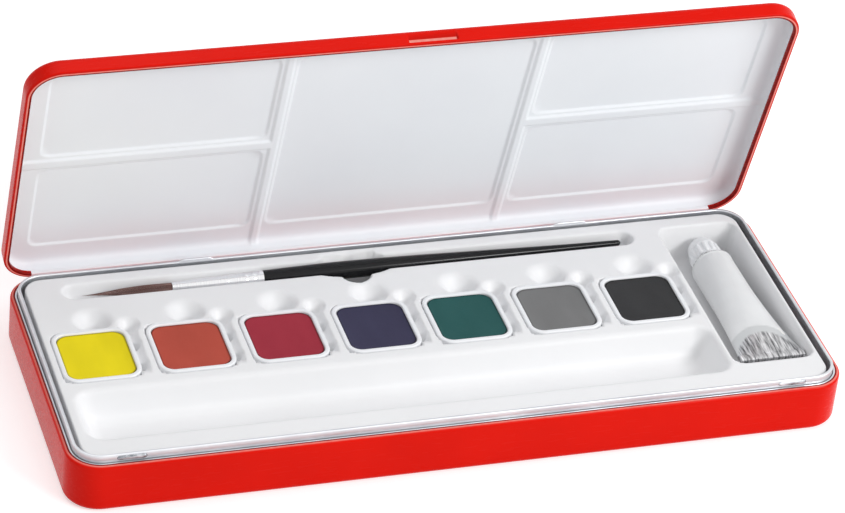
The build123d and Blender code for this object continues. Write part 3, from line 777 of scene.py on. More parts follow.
# Tray
def pocket_profile(depth, draft, lip, floor):
    """How deep a formed pocket is by the distance in from its edge: lip, wall, floor."""
    slope = math.radians(90 - draft)
    drop = lip * (1 - math.cos(slope))
    rise = floor * (1 - math.cos(slope))
    lip_start = drop / math.tan(slope) - lip * math.sin(slope)
    distances, depths = [lip_start - 50], [0.0]
    for step in range(13):
        turn = slope * step / 12
        distances.append(lip_start + lip * math.sin(turn))
        depths.append(lip * (1 - math.cos(turn)))
    wall_run = max(0.0, (depth - drop - rise)) / math.tan(slope)
    floor_start = distances[-1] + wall_run
    for step in range(13):
        turn = slope * (1 - step / 12)
        distances.append(floor_start + floor * (math.sin(slope) - math.sin(turn)))
        depths.append(depth - floor * (1 - math.cos(turn)))
    distances.append(distances[-1] + 500)
    depths.append(depth)
    return np.array(distances), np.array(depths)


def deeper(first, second, blend):
    """The deeper of two hollows, with the crest where they meet rounded off."""
    soft = np.minimum(blend, np.minimum(first, second))
    overlap = np.maximum(soft - np.abs(first - second), 0) / np.maximum(soft, 1e-6)
    return np.maximum(first, second) + overlap**2 * soft / 4


def tray_depth(x, y):
    """How far below its top face the formed tray lies at each point."""
    def pocket(inside, *shape):
        distances, depths = pocket_profile(*shape)
        return np.interp(inside, distances, depths)

    grow = pan_clearance - 0.2
    swell = np.zeros_like(x)
    pans = np.zeros_like(x)
    hollows = np.zeros_like(x)
    for pan_x, pan_y in pan_places:
        u, v = x - pan_x, y - pan_y
        square = inside_rectangle(
            u, v, pan_length / 2 + grow, pan_width / 2 + grow, pan_radius + grow
        )
        pans = np.maximum(pans, pocket(square, 9.4, 2, 0.35, 1.0))
        swell = np.maximum(swell, 0.34 * np.exp(-((np.minimum(square + 0.6, 0) / 2.2) ** 2)))
        bowl = 5.6 - np.hypot(u - 2.5, v - 16.2)
        hollows = np.maximum(hollows, pocket(bowl, 3.9, 42, 2.6, 4.2))
        small = 3.4 - np.hypot(u - 12.4, v - 12.9)
        hollows = deeper(hollows, pocket(small, 3.2, 34, 1.4, 2.4), 1.0)
        for offset in (4.4, -5.2):
            scallop = 2.5 - np.hypot(u - 11.7, v - offset)
            hollows = deeper(hollows, pocket(scallop, 4.6, 14, 1.1, 1.6), 0.8)
        groove = inside_rectangle(u - 12.4, v - 1.6, 1.7, 11.2, 1.6)
        hollows = deeper(hollows, pocket(groove, 2.2, 25, 1.0, 1.2), 0.8)
    depth = deeper(pans, hollows, 0.9) - swell
    slot = inside_rectangle(x - field_side, y - slot_back, slot_length / 2, slot_width / 2, slot_width / 2)
    depth = deeper(depth, pocket(slot, 4.9, 8, 1.0, 2.2), 0.8)
    u, v = x + 12.5, y - slot_back
    recess = (1 - np.hypot(u / 13.2, v / 5.6)) * 5.6
    recess = np.maximum(recess, 4.4 - np.hypot(u + 0.3, v + 4.4))
    recess = np.maximum(recess, 4.0 - np.hypot(u - 5.0, v - 1.2))
    depth = deeper(depth, pocket(recess, 13.0, 4, 0.7, 1.5), 0.8)
    basin = inside_rectangle(x - field_side, y + 23.4, 95.2, 11.0, 5.0)
    depth = deeper(depth, pocket(basin, 8.9, 24, 2.0, 3.4), 1.2)
    bay = inside_rectangle(x - 97.0, y - 2.7, 12.4, 34.5, 3.8)
    return deeper(depth, pocket(bay, 13.0, 3, 0.9, 2.4), 1.0)


def formed_tray():
    """The white tray: one thin sheet formed down round every piece it holds."""
    edge = 0.5
    half_length, half_width = box_length / 2 - tray_inset, box_width / 2 - tray_inset + 0.9
    radius = corner_radius - tray_inset
    reach_x, reach_y = half_length - edge, half_width - edge
    zones_x, zones_y = [], []
    for pan_x, _ in pan_places:
        wall = pan_length / 2 + pan_clearance
        zones_x += [(pan_x - wall - 0.6, pan_x - wall + 0.5, 0.3), (pan_x + wall - 1.4, pan_x + wall + 3.2, 0.33)]
        zones_x += [(pan_x - 4.2, pan_x + 9.2, 0.85), (pan_x + 9, pan_x + 16, 0.6)]
    for low, high, spacing in (
        (-108.0, -104.2, 0.45), (79.5, 84.2, 0.45), (84.2, 86.0, 0.3), (107.8, 110.0, 0.3),
        (-100.5, -98.0, 0.4), (73.0, 76.0, 0.4), (-26.2, -18.0, 0.6), (-17.8, 1.0, 0.5),
    ):
        zones_x.append((low, high, spacing))
    pan_wall_y = pan_width / 2 + pan_clearance
    for low, high, spacing in (
        (pan_row_back - pan_wall_y - 0.6, pan_row_back - pan_wall_y + 0.6, 0.3),
        (pan_row_back + pan_wall_y - 0.6, pan_row_back + pan_wall_y + 1.0, 0.3),
        (-36.0, -31.0, 0.4), (-15.6, -11.2, 0.4), (-5.0, 11.0, 0.5), (13.0, 25.0, 0.65),
        (30.0, 32.4, 0.3), (36.4, 38.8, 0.3), (25.0, 30.0, 0.5), (-33.0, -30.5, 0.4), (32.4, 36.4, 0.6),
    ):
        zones_y.append((low, high, spacing))
    across = graded_lines(-reach_x, reach_x, 1.8, zones_x)
    along = graded_lines(-reach_y, reach_y, 1.6, zones_y)
    x, y = panel_grid(reach_x, reach_y, radius - edge, across, along)
    depth = tray_depth(x, y)
    rows, columns = x.shape
    order = border_order(rows, columns)
    points = [
        (x[i, j], y[i, j], tray_top - depth[i, j]) for i in range(rows) for j in range(columns)
    ]
    faces = grid_faces(rows, columns, 0)
    near = [i * columns + j for i, j in order]
    skirt = arc((0, -edge), edge, 90, 0, 6)[1:] + [(edge, -4.0), (edge, 0.5 - tray_top)]
    for out, down in skirt:
        start = len(points)
        for i, j in order:
            out_x, out_y = way_out(x[i, j], y[i, j], reach_x, reach_y, radius - edge)
            kept = depth[i, j] * max(0.0, 1 + down / 1.5) if down > -1.5 else 0.0
            points.append((x[i, j] + out_x * out, y[i, j] + out_y * out, tray_top + down - kept))
        far = list(range(start, len(points)))
        for step in range(len(order)):
            after = (step + 1) % len(order)
            faces.append((near[after], near[step], far[step], far[after]))
        near = far
    mesh = bpy.data.meshes.new("formed_tray")
    mesh.from_pydata([tuple(MM * c for c in point) for point in points], [], faces)
    mesh.materials.append(TRAY_PLASTIC)
    mesh.shade_smooth()
    made = bpy.data.objects.new("formed_tray", mesh)
    bpy.context.scene.collection.objects.link(made)
    wall = made.modifiers.new("wall", "SOLIDIFY")
    wall.thickness, wall.offset = tray_wall * MM, -1
    return settled(made)


def settled(made):
    """The object with its modifiers worked into its mesh."""
    graph = bpy.context.evaluated_depsgraph_get()
    mesh = bpy.data.meshes.new_from_object(made.evaluated_get(graph))
    made.modifiers.clear()
    made.data = mesh
    return made


# Pans and paint
def pan_ring(centre, inset, height, radius=pan_radius):
    """A pan's outline drawn in by an amount, at one height."""
    outline = rounded_outline(
        pan_length / 2 - inset, pan_width / 2 - inset, max(0.6, radius - inset), 9, 3, 3
    )
    return [(centre[0] + x, centre[1] + y, height) for x, y in outline]


def gouache_pan(number, centre):
    """A moulded white pan with a rounded rim, slightly drawn in towards its foot."""
    bottom = pan_top - pan_height
    profile = [(0.9, bottom)] + arc((0.95, bottom + 0.6), 0.6, -90, -175, 4)
    profile += [(0.1, pan_top - 3.0), (0.0, pan_top - 1.0)]
    profile += arc((0.42, pan_top - 0.42), 0.42, 180, 90, 6)
    profile += arc((0.92, pan_top - 0.5), 0.5, 90, 0, 6)
    profile += [(1.5, pan_top - 2.0), (1.6, bottom + 1.6)] + arc((2.2, bottom + 1.6), 0.6, 180, 270, 4)
    points, faces = drawn_through([pan_ring(centre, inset, height) for inset, height in profile])
    return piece(f"gouache_pan_{number}", points, faces, [PAN_PLASTIC])


def paint_block(number, centre):
    """A poured block of gouache: its skin sinks a little in the middle and climbs at the edge."""
    inset = 1.46
    half_length, half_width = pan_length / 2 - inset, pan_width / 2 - inset
    radius, top = pan_radius - inset + 0.6, pan_top - 0.72
    steps = np.linspace(-1, 1, 41)
    steps = np.sign(steps) * (1 - (1 - np.abs(steps)) ** 1.5)
    across, along = steps * half_length, steps * half_width
    x, y = panel_grid(half_length, half_width, radius, across, along)
    inside = inside_rectangle(x, y, half_length, half_width, radius)
    level = 0.16 * np.exp(-np.maximum(inside, 0) / 0.7) - 0.05 * np.clip(inside / 6, 0, 1)
    points = []
    for i in range(41):
        for j in range(41):
            swell = 0.07 * noise.noise((x[i, j] * 0.16 + number * 7, y[i, j] * 0.16, number))
            points.append((centre[0] + x[i, j], centre[1] + y[i, j], top + level[i, j] + swell))
    faces = grid_faces(41, 41, 0)
    order = border_order(41, 41)
    near = [i * 41 + j for i, j in order]
    for shrink, height in ((0.05, top - 0.4), (0.25, pan_top - pan_height + 1.3), (0.8, pan_top - pan_height + 1.02)):
        start = len(points)
        for i, j in order:
            out_x, out_y = way_out(x[i, j], y[i, j], half_length, half_width, radius)
            points.append(
                (centre[0] + x[i, j] - out_x * shrink, centre[1] + y[i, j] - out_y * shrink, height)
            )
        far = list(range(start, len(points)))
        for step in range(len(order)):
            after = (step + 1) % len(order)
            faces.append((near[after], near[step], far[step], far[after]))
        near = far
    faces.append(tuple(reversed(near)))
    made = piece(f"paint_block_{number}", points, faces, [GOUACHE[number - 1]])
    # Painted shade: full at the block's edge and sides, fading within half a millimetre
    thick = [max(0.0, 1.0 - float(d) / 0.5) for d in inside.ravel()]
    thick += [1.0] * (len(points) - len(thick))
    mark = made.data.attributes.new("painted_edge_shade", "FLOAT", "POINT")
    mark.data.foreach_set("value", thick)
    return made


# Brush
def turned(name, stations, material, around=48):
    """A round piece along the brush's axis, through stations of (place along x, radius)."""
    rings = [
        [
            (x, slot_back + r * math.cos(2 * math.pi * t / around), brush_z + r * math.sin(2 * math.pi * t / around))
            for t in range(around)
        ]
        for x, r in stations
    ]
    points, faces = drawn_through(rings)
    return piece(name, points, faces, [material], crease=50)


ferrule_start = brush_tip + hair_length
handle_start = ferrule_start + ferrule_length


def ferrule():
    """A drawn conical ferrule with a rolled mouth, two crimp grooves and a rolled end."""
    def radius(share):
        return 1.5 + (2.35 - 1.5) * share

    stations = [(ferrule_start + 2.8, 1.22), (ferrule_start + 0.05, 1.24)]
    stations += [(ferrule_start, 1.36), (ferrule_start + 0.08, 1.5), (ferrule_start + 0.3, 1.52)]
    for step in range(1, 90):
        place = ferrule_length * step / 90
        depth = sum(0.2 * math.exp(-(((place - ferrule_length + d) / 0.42) ** 2)) for d in (2.2, 4.6))
        depth += 0.08 * math.exp(-(((place - ferrule_length * 0.62) / 0.3) ** 2))
        stations.append((ferrule_start + place, radius(place / ferrule_length) - depth))
    end = ferrule_start + ferrule_length
    stations += [(end - 0.05, 2.37), (end, 2.28), (end - 0.02, 2.12), (end - 3.0, 2.05)]
    return turned("ferrule", stations, NICKEL)


def handle():
    """A turned handle, swelling behind the ferrule and tapering to a round end."""
    shares = [0.0, 0.06, 0.2, 0.4, 0.62, 0.85, 1.0]
    radii = [2.25, 2.45, 2.7, 2.45, 1.8, 1.15, 0.9]
    stations = [(handle_start - 7.9, 1.85), (handle_start - 0.1, 2.06), (handle_start, 2.1)]
    stations += [(handle_start + 0.02, 2.2)]
    length = handle_length - 0.9
    curve = np.linspace(0.004, 1, 90)
    for share in curve:
        stations.append((handle_start + share * length, smooth_through(shares, radii, share)))
    end = handle_start + length
    stations += [(end + ahead, r) for ahead, r in arc((0, 0), 0.9, 80, 8, 8)]
    return turned("handle", [(x, max(r, 0.05)) for x, r in stations], LACQUER)


def smooth_through(places, values, at):
    """A smooth curve through values at places, without overshoot."""
    for low, high, first, second in zip(places, places[1:], values, values[1:]):
        if at <= high:
            break
    index = places.index(low)
    def slope(k):
        if k == 0 or k == len(places) - 1:
            near = 0 if k == 0 else k - 1
            return (values[near + 1] - values[near]) / (places[near + 1] - places[near])
        return (values[k + 1] - values[k - 1]) / (places[k + 1] - places[k - 1])
    run = high - low
    t = (at - low) / run
    return (
        (2 * t**3 - 3 * t**2 + 1) * first
        + (t**3 - 2 * t**2 + t) * run * slope(index)
        + (3 * t**2 - 2 * t**3) * second
        + (t**3 - t**2) * run * slope(index + 1)
    )


def tree_with(name, inputs):
    """An empty geometry tree with named inputs for its sizes, and its input and output nodes."""
    tree = bpy.data.node_groups.new(name, "GeometryNodeTree")
    tree.interface.new_socket("Geometry", in_out="OUTPUT", socket_type="NodeSocketGeometry")
    for label, kind, value in inputs:
        socket = tree.interface.new_socket(label, in_out="INPUT", socket_type=kind)
        if value is not None:
            socket.default_value = value
    return tree, tree.nodes.new("NodeGroupInput"), tree.nodes.new("NodeGroupOutput")


def grown(name, tree, sizes):
    """Run a geometry tree with its sizes set, and keep the result as a plain mesh."""
    made = bpy.data.objects.new(name, bpy.data.meshes.new(name))
    bpy.context.scene.collection.objects.link(made)
    maker = made.modifiers.new("maker", "NODES")
    maker.node_group = tree
    for socket in tree.interface.items_tree:
        if socket.in_out == "INPUT" and socket.name in sizes:
            maker[socket.identifier] = sizes[socket.name]
    return settled(made)


def hair_tree():
    """Strands grown from the ferrule's mouth, swelling to a belly and closing to a point."""
    tree, sizes, result = tree_with(
        "brush_hair_strands",
        (
            ("Strands", "NodeSocketInt", 700),
            ("Length", "NodeSocketFloat", 0.03),
            ("Mouth radius", "NodeSocketFloat", 0.0012),
            ("Belly radius", "NodeSocketFloat", 0.0014),
            ("Strand radius", "NodeSocketFloat", 0.00006),
            ("Stagger", "NodeSocketFloat", 0.4),
            ("Seed", "NodeSocketInt", 1),
            ("Finish", "NodeSocketMaterial", None),
        ),
    )
    size = sizes.outputs
    # One point for each strand, placed in a disc by its number, as seeds sit in a flower head
    dots = fill_node(tree, "GeometryNodePoints", {"Count": size["Strands"]})
    number = fill_node(tree, "GeometryNodeInputIndex").outputs["Index"]
    share = maths(tree, "DIVIDE", maths(tree, "ADD", number, 0.5), size["Strands"])
    spread = maths(tree, "SQRT", share)
    turn = maths(tree, "MULTIPLY", number, 2.399963)
    jitter = fill_node(
        tree, "FunctionNodeRandomValue", {"ID": number, "Seed": size["Seed"], "Min": 0.0, "Max": 1.0}
    )
    loose = [s for s in jitter.outputs if s.type == "VALUE"][0]
    keep_spread = fill_node(
        tree, "GeometryNodeStoreNamedAttribute",
        {"Geometry": dots.outputs["Points"], "Name": "spread", "Value": spread},
    )
    keep_turn = fill_node(
        tree, "GeometryNodeStoreNamedAttribute",
        {"Geometry": keep_spread.outputs["Geometry"], "Name": "turn", "Value": turn},
    )
    keep_shade = fill_node(
        tree, "GeometryNodeStoreNamedAttribute",
        {"Geometry": keep_turn.outputs["Geometry"], "Name": "strand_shade", "Value": loose},
    )
    line = fill_node(
        tree, "GeometryNodeCurvePrimitiveLine", {"Start": (0, 0, 0), "End": (1, 0, 0)}
    )
    spans = fill_node(
        tree, "GeometryNodeResampleCurve", {"Curve": line.outputs["Curve"], "Count": 9}
    )
    sown = fill_node(
        tree, "GeometryNodeInstanceOnPoints",
        {"Points": keep_shade.outputs["Geometry"], "Instance": spans.outputs["Curve"]},
    )
    strands = fill_node(
        tree, "GeometryNodeRealizeInstances", {"Geometry": sown.outputs["Instances"]}
    ).outputs["Geometry"]

    def kept(label):
        made = fill_node(tree, "GeometryNodeInputNamedAttribute", {"Name": label})
        return [s for s in made.outputs if s.type == "VALUE"][0]

    part = fill_node(tree, "GeometryNodeSplineParameter").outputs["Factor"]
    out, angle, shade = kept("spread"), kept("turn"), kept("strand_shade")
    # Inner strands reach the point, outer ones stop short of it
    short = maths(tree, "MULTIPLY", maths(tree, "MULTIPLY", out, out), size["Stagger"])
    ragged = maths(tree, "MULTIPLY", shade, 0.03)
    reach = maths(tree, "SUBTRACT", maths(tree, "SUBTRACT", 1.0, short), ragged)
    place = maths(tree, "MULTIPLY", part, reach)
    # The bundle's radius: from the mouth out to the belly, then in to the point
    swell = maths(tree, "SINE", maths(tree, "MULTIPLY", maths(tree, "MINIMUM", place, 0.5), math.pi))
    close = maths(tree, "MAXIMUM", maths(tree, "SUBTRACT", place, 0.25), 0.0)
    close = maths(tree, "DIVIDE", close, 0.75)
    taper = maths(tree, "SUBTRACT", 1.0, maths(tree, "POWER", close, 1.5))
    belly = maths(tree, "SUBTRACT", size["Belly radius"], size["Mouth radius"])
    bundle = maths(tree, "ADD", size["Mouth radius"], maths(tree, "MULTIPLY", belly, swell))
    bundle = maths(tree, "MULTIPLY", bundle, maths(tree, "MAXIMUM", taper, 0.04))
    radial = maths(tree, "MULTIPLY", bundle, out)
    wander = maths(tree, "MULTIPLY", maths(tree, "SUBTRACT", shade, 0.5), 0.35)
    lean = maths(tree, "ADD", angle, maths(tree, "MULTIPLY", wander, part))
    place_vector = fill_node(
        tree, "ShaderNodeCombineXYZ",
        {
            "X": maths(tree, "MULTIPLY", maths(tree, "MULTIPLY", place, size["Length"]), -1.0),
            "Y": maths(tree, "MULTIPLY", radial, maths(tree, "COSINE", lean)),
            "Z": maths(tree, "MULTIPLY", radial, maths(tree, "SINE", lean)),
        },
    )
    bent = fill_node(
        tree, "GeometryNodeSetPosition",
        {"Geometry": strands, "Position": place_vector.outputs["Vector"]},
    )
    thin = maths(tree, "SUBTRACT", 1.0, maths(tree, "MULTIPLY", maths(tree, "POWER", part, 2.0), 0.75))
    thick = fill_node(
        tree, "GeometryNodeSetCurveRadius",
        {"Curve": bent.outputs["Geometry"], "Radius": maths(tree, "MULTIPLY", thin, size["Strand radius"])},
    )
    section = fill_node(
        tree, "GeometryNodeCurvePrimitiveCircle", {"Resolution": 3, "Radius": 1.0}, mode="RADIUS"
    )
    tubes = fill_node(
        tree, "GeometryNodeCurveToMesh",
        {"Curve": thick.outputs["Curve"], "Profile Curve": section.outputs["Curve"], "Fill Caps": True},
    )
    if "Scale" in tubes.inputs:
        radius_field = fill_node(tree, "GeometryNodeInputRadius").outputs["Radius"]
        tree.links.new(radius_field, tubes.inputs["Scale"])
    whole = fill_node(
        tree, "GeometryNodeRealizeInstances", {"Geometry": tubes.outputs["Mesh"]}
    )
    dyed = fill_node(
        tree, "GeometryNodeSetMaterial",
        {"Geometry": whole.outputs["Geometry"], "Material": size["Finish"]},
    )
    tree.links.new(dyed.outputs["Geometry"], result.inputs["Geometry"])
    return tree


def brush_hair_tuft():
    """The pointed tuft of hair, carried to its place in the ferrule's mouth."""
    made = grown(
        "brush_hair_tuft",
        hair_tree(),
        {
            "Strands": 760,
            "Length": (hair_length + 2.0) * MM,
            "Mouth radius": 1.16 * MM,
            "Belly radius": 1.42 * MM,
            "Strand radius": 0.062 * MM,
            "Stagger": 0.38,
            "Seed": 11,
            "Finish": HAIR,
        },
    )
    made.data.transform(
        Matrix.Translation(((ferrule_start + 2.0) * MM, slot_back * MM, brush_z * MM))
    )
    return made


# Tube
def tube_section(share):
    """Half width, half height and centre height of the tube's body, from shoulder to tail."""
    roundness = math.cos(share * math.pi / 2)
    half_height = 0.8 + (tube_radius - 0.8) * roundness
    half_width = 10.1 + (tube_radius - 10.1) * roundness
    return half_width, half_height, tube_z + 2.9 * share**2


def soft_tube():
    """The tube: round shoulder, swollen body pressed flat to a lens, creased by handling."""
    around = 96
    rings = []
    nozzle_end = shoulder_y + 7.6
    for y, r in (
        (nozzle_end - 2.0, 1.5), (nozzle_end, 1.5), (nozzle_end, 2.2), (nozzle_end - 0.2, 2.45),
        (shoulder_y + 2.6, 2.45), (shoulder_y + 2.55, 2.8), (shoulder_y + 2.45, 4.2),
        (shoulder_y + 2.2, 4.6), (shoulder_y + 0.7, 6.2), (shoulder_y + 0.25, 6.5), (shoulder_y, 6.58),
        (shoulder_y - 0.35, 6.56), (shoulder_y - 0.6, 6.38),
    ):
        rings.append(
            [
                (tube_x + r * math.cos(2 * math.pi * t / around), y, tube_z + r * math.sin(2 * math.pi * t / around))
                for t in range(around)
            ]
        )
    for step in range(1, 71):
        share = 0.02 + 0.98 * step / 70
        half_width, half_height, centre = tube_section(share)
        pinch = 1 + 0.55 * share**2
        ring = []
        for t in range(around):
            angle = 2 * math.pi * t / around
            up = math.copysign(abs(math.sin(angle)) ** pinch, math.sin(angle))
            x = half_width * math.cos(angle)
            y = shoulder_y - share * tube_length
            near_shoulder = math.exp(-((share - 0.03) / 0.05) ** 2)
            dent = 0.30 * near_shoulder * noise.noise((x * 0.9, y * 0.5, up * 2))
            dent += 0.28 * noise.noise((x * 0.16, y * 0.09, up + 5)) * math.sin(math.pi * share)
            dent += 0.10 * noise.noise((x * 0.5, y * 0.35, up + 9)) * share
            fall = half_height * up * (1 + dent / max(half_height, 2.0))
            ring.append((tube_x + x, y, centre + fall))
        rings.append(ring)
    points, faces = drawn_through(rings)
    made = piece("soft_tube", points, faces, [TUBE_METAL])
    mark_bare(made)
    return made


def mark_bare(made):
    """Mark the unpainted metal: the nozzle, and inside an arc on the tail."""
    mask = made.data.attributes.new("bare_metal", "FLOAT", "POINT")
    band = made.data.attributes.new("dull_band", "FLOAT", "POINT")
    tail_y = shoulder_y - tube_length
    for number, vertex in enumerate(made.data.vertices):
        x, y, z = (c / MM for c in vertex.co)
        reach = math.hypot((x - tube_x) / 9.6, (y - tail_y + 0.5) / 9.4)
        bare = 1 - min(1.0, max(0.0, (reach - 0.97) / 0.06))
        if y > shoulder_y + 2.4:
            bare = 1.0
        if abs(y - shoulder_y - 0.3) < 0.5:
            bare = max(0.0, 0.9 - 1.6 * abs(noise.noise((x * 1.7, z * 1.7, 3))))
        mask.data[number].value = bare
        band.data[number].value = 1 - min(1.0, max(0.0, (reach - 1.3) / 0.06))


def folded_tail():
    """The tail's end folded over twice and pressed flat, with the marks of the pliers."""
    fold_y = shoulder_y - tube_length
    height = tube_z + 2.9
    outline = []
    for step in range(57):
        outline.append(-10.3 + 20.6 * step / 56)
    section = [(0.35, 0.25), (0.2, 0.62), (-0.3, 0.8), (-2.1, 0.82), (-2.5, 0.6), (-2.62, 0.1)]
    section += [(-2.5, -0.45), (-2.2, -0.68), (-1.0, -0.72), (-0.9, -0.6), (-0.3, -0.62), (0.3, -0.4)]
    rings = []
    for number, x in enumerate(outline):
        press = 1 - 0.10 * (0.5 + 0.5 * math.cos(number * 1.9))
        end = min(1.0, min(number, 56 - number) / 2 + 0.55)
        wave = 0.12 * noise.noise((x * 0.35, 2, 0))
        rings.append(
            [(tube_x + x, fold_y + y * (0.6 + 0.4 * end), height + wave + z * press * end) for y, z in section]
        )
    points, faces = drawn_through(rings)
    made = piece("folded_tail", points, faces, [TUBE_METAL])
    mask = made.data.attributes.new("bare_metal", "FLOAT", "POINT")
    for number in range(len(made.data.vertices)):
        mask.data[number].value = 1.0
    return made


def thread_tree():
    """A screw thread: a spiral path with a small ridge drawn along it."""
    tree, sizes, result = tree_with(
        "screw_thread",
        (
            ("Turns", "NodeSocketFloat", 4.0),
            ("Radius", "NodeSocketFloat", 0.0025),
            ("Height", "NodeSocketFloat", 0.004),
            ("Ridge", "NodeSocketFloat", 0.0003),
            ("Finish", "NodeSocketMaterial", None),
        ),
    )
    size = sizes.outputs
    path = fill_node(
        tree, "GeometryNodeCurveSpiral",
        {
            "Resolution": 40, "Rotations": size["Turns"], "Start Radius": size["Radius"],
            "End Radius": size["Radius"], "Height": size["Height"],
        },
    )
    ridge = fill_node(
        tree, "GeometryNodeCurvePrimitiveCircle", {"Resolution": 6, "Radius": size["Ridge"]}, mode="RADIUS"
    )
    swept = fill_node(
        tree, "GeometryNodeCurveToMesh",
        {"Curve": path.outputs["Curve"], "Profile Curve": ridge.outputs["Curve"], "Fill Caps": True},
    )
    whole = fill_node(tree, "GeometryNodeRealizeInstances", {"Geometry": swept.outputs["Mesh"]})
    plated = fill_node(
        tree, "GeometryNodeSetMaterial",
        {"Geometry": whole.outputs["Geometry"], "Material": size["Finish"]},
    )
    tree.links.new(plated.outputs["Geometry"], result.inputs["Geometry"])
    return tree


def nozzle_thread():
    """The thread on the tube's nozzle."""
    made = grown(
        "nozzle_thread",
        thread_tree(),
        {"Turns": 3.6, "Radius": 2.42 * MM, "Height": 3.6 * MM, "Ridge": 0.22 * MM, "Finish": STEEL},
    )
    turn = Matrix.Rotation(math.radians(-90), 4, "X")
    made.data.transform(
        Matrix.Translation((tube_x * MM, (shoulder_y + 3.4) * MM, tube_z * MM)) @ turn
    )
    made.data.shade_smooth()
    return made


def rib_tree():
    """Upright ribs set at even steps round a cap's skirt."""
    tree, sizes, result = tree_with(
        "cap_ribs",
        (
            ("Ribs", "NodeSocketInt", 14),
            ("Skirt radius", "NodeSocketFloat", 0.0045),
            ("Rib length", "NodeSocketFloat", 0.0045),
            ("Rib radius", "NodeSocketFloat", 0.0007),
            ("Finish", "NodeSocketMaterial", None),
        ),
    )
    size = sizes.outputs
    seats = fill_node(
        tree, "GeometryNodeMeshCircle", {"Vertices": size["Ribs"], "Radius": size["Skirt radius"]}
    )
    end = fill_node(tree, "ShaderNodeCombineXYZ", {"Z": size["Rib length"]})
    stem = fill_node(
        tree, "GeometryNodeCurvePrimitiveLine", {"Start": (0, 0, 0), "End": end.outputs["Vector"]}
    )
    spans = fill_node(tree, "GeometryNodeResampleCurve", {"Curve": stem.outputs["Curve"], "Count": 9})
    part = fill_node(tree, "GeometryNodeSplineParameter").outputs["Factor"]
    far = maths(tree, "ABSOLUTE", maths(tree, "SUBTRACT", maths(tree, "MULTIPLY", part, 2.0), 1.0))
    ease = maths(tree, "SQRT", maths(tree, "SUBTRACT", 1.02, maths(tree, "POWER", far, 8.0)))
    rounded = fill_node(
        tree, "GeometryNodeSetCurveRadius", {"Curve": spans.outputs["Curve"], "Radius": ease}
    )
    section = fill_node(
        tree, "GeometryNodeCurvePrimitiveCircle", {"Resolution": 14, "Radius": size["Rib radius"]},
        mode="RADIUS",
    )
    rib = fill_node(
        tree, "GeometryNodeCurveToMesh",
        {"Curve": rounded.outputs["Curve"], "Profile Curve": section.outputs["Curve"], "Fill Caps": True},
    )
    if "Scale" in rib.inputs:
        radius_field = fill_node(tree, "GeometryNodeInputRadius").outputs["Radius"]
        tree.links.new(radius_field, rib.inputs["Scale"])
    ribs = fill_node(
        tree, "GeometryNodeInstanceOnPoints",
        {"Points": seats.outputs["Mesh"], "Instance": rib.outputs["Mesh"]},
    )
    whole = fill_node(tree, "GeometryNodeRealizeInstances", {"Geometry": ribs.outputs["Instances"]})
    moulded = fill_node(
        tree, "GeometryNodeSetMaterial",
        {"Geometry": whole.outputs["Geometry"], "Material": size["Finish"]},
    )
    tree.links.new(moulded.outputs["Geometry"], result.inputs["Geometry"])
    return tree


def cap_ribs():
    """The ribs of the screw cap."""
    made = grown(
        "cap_ribs",
        rib_tree(),
        {"Ribs": 14, "Skirt radius": 4.42 * MM, "Rib length": 4.7 * MM, "Rib radius": 0.68 * MM, "Finish": CAP_PLASTIC},
    )
    turn = Matrix.Rotation(math.radians(-90), 4, "X")
    made.data.transform(
        Matrix.Translation((tube_x * MM, (shoulder_y + 2.95) * MM, tube_z * MM)) @ turn
    )
    made.data.shade_smooth()
    return made


def screw_cap():
    """The cap's own body: a skirt under the ribs, a short cone and a flat, dished end."""
    start = shoulder_y + 2.9
    stations = [(7.05, 2.82), (0.25, 2.82), (0.0, 3.1), (0.0, 4.3), (0.12, 4.55), (4.5, 4.55)]
    stations += [(4.75, 4.72), (5.0, 4.75), (5.2, 4.6), (7.3, 4.2), (7.6, 4.12), (7.82, 3.95)]
    stations += [(7.9, 3.7), (7.9, 3.3), (7.7, 3.1), (7.68, 1.5)]
    around = 64
    rings = [
        [
            (tube_x + r * math.cos(2 * math.pi * t / around), start + y, tube_z + r * math.sin(2 * math.pi * t / around))
            for t in range(around)
        ]
        for y, r in stations
    ]
    points, faces = drawn_through(rings)
    return piece("screw_cap", points, faces, [CAP_PLASTIC])


# Pieces on their bodies
def dress(made, body, slot, *nodes):
    """Let a piece ride on its body and hide the solids that it stands for; the slot is not used."""
    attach(made, body)
    if nodes:
        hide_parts(*nodes)


dress(base_pressing(), "base", "red_enamel", "base_shell")
dress(collar_band(), "base", "bright_steel", "rim_frame")
for name, side in (("left", -1), ("right", 1)):
    dress(snap_bar("snap_bar_" + name, side * snap_place), "base", "bright_steel")
    dress(guard_ridge("guard_ridge_" + name, side * hinge_place), "base", "bright_steel")
    dress(hinge_ears("hinge_ears_" + name, side * hinge_place), "base", "red_enamel")
    dress(lid_tongue("lid_tongue_" + name, side * hinge_place), "lid", "red_enamel")
dress(lid_pressing(), "lid", "red_enamel", "lid_shell")
dress(formed_tray(), "tray", "tray_plastic", "tray_insert")
for number, centre in enumerate(pan_places, start=1):
    body = f"pan_{number}_filled"
    dress(gouache_pan(number, centre), body, "pan_plastic", f"pan_{number}")
    dress(paint_block(number, centre), body, GOUACHE_SLOTS[number - 1], f"paint_{number}")
dress(ferrule(), "brush", "nickel", "brush_ferrule")
dress(handle(), "brush", "black_lacquer", "brush_handle")
dress(brush_hair_tuft(), "brush", "brown_hair", "brush_hair")
dress(soft_tube(), "tube", "tube_metal", "tube_body")
dress(folded_tail(), "tube", "tube_metal")
dress(nozzle_thread(), "tube", "bright_steel")
dress(screw_cap(), "cap", "cap_plastic", "tube_cap")
dress(cap_ribs(), "cap", "cap_plastic")

for node, material in (
    ("hinge_pin_left", STEEL),
    ("hinge_pin_right", STEEL),
    ("tube_paint", GOUACHE_WHITE),
    ("cap_liner", LINER),
):
    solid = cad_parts[node]
    solid.data.materials.clear()
    solid.data.materials.append(material)


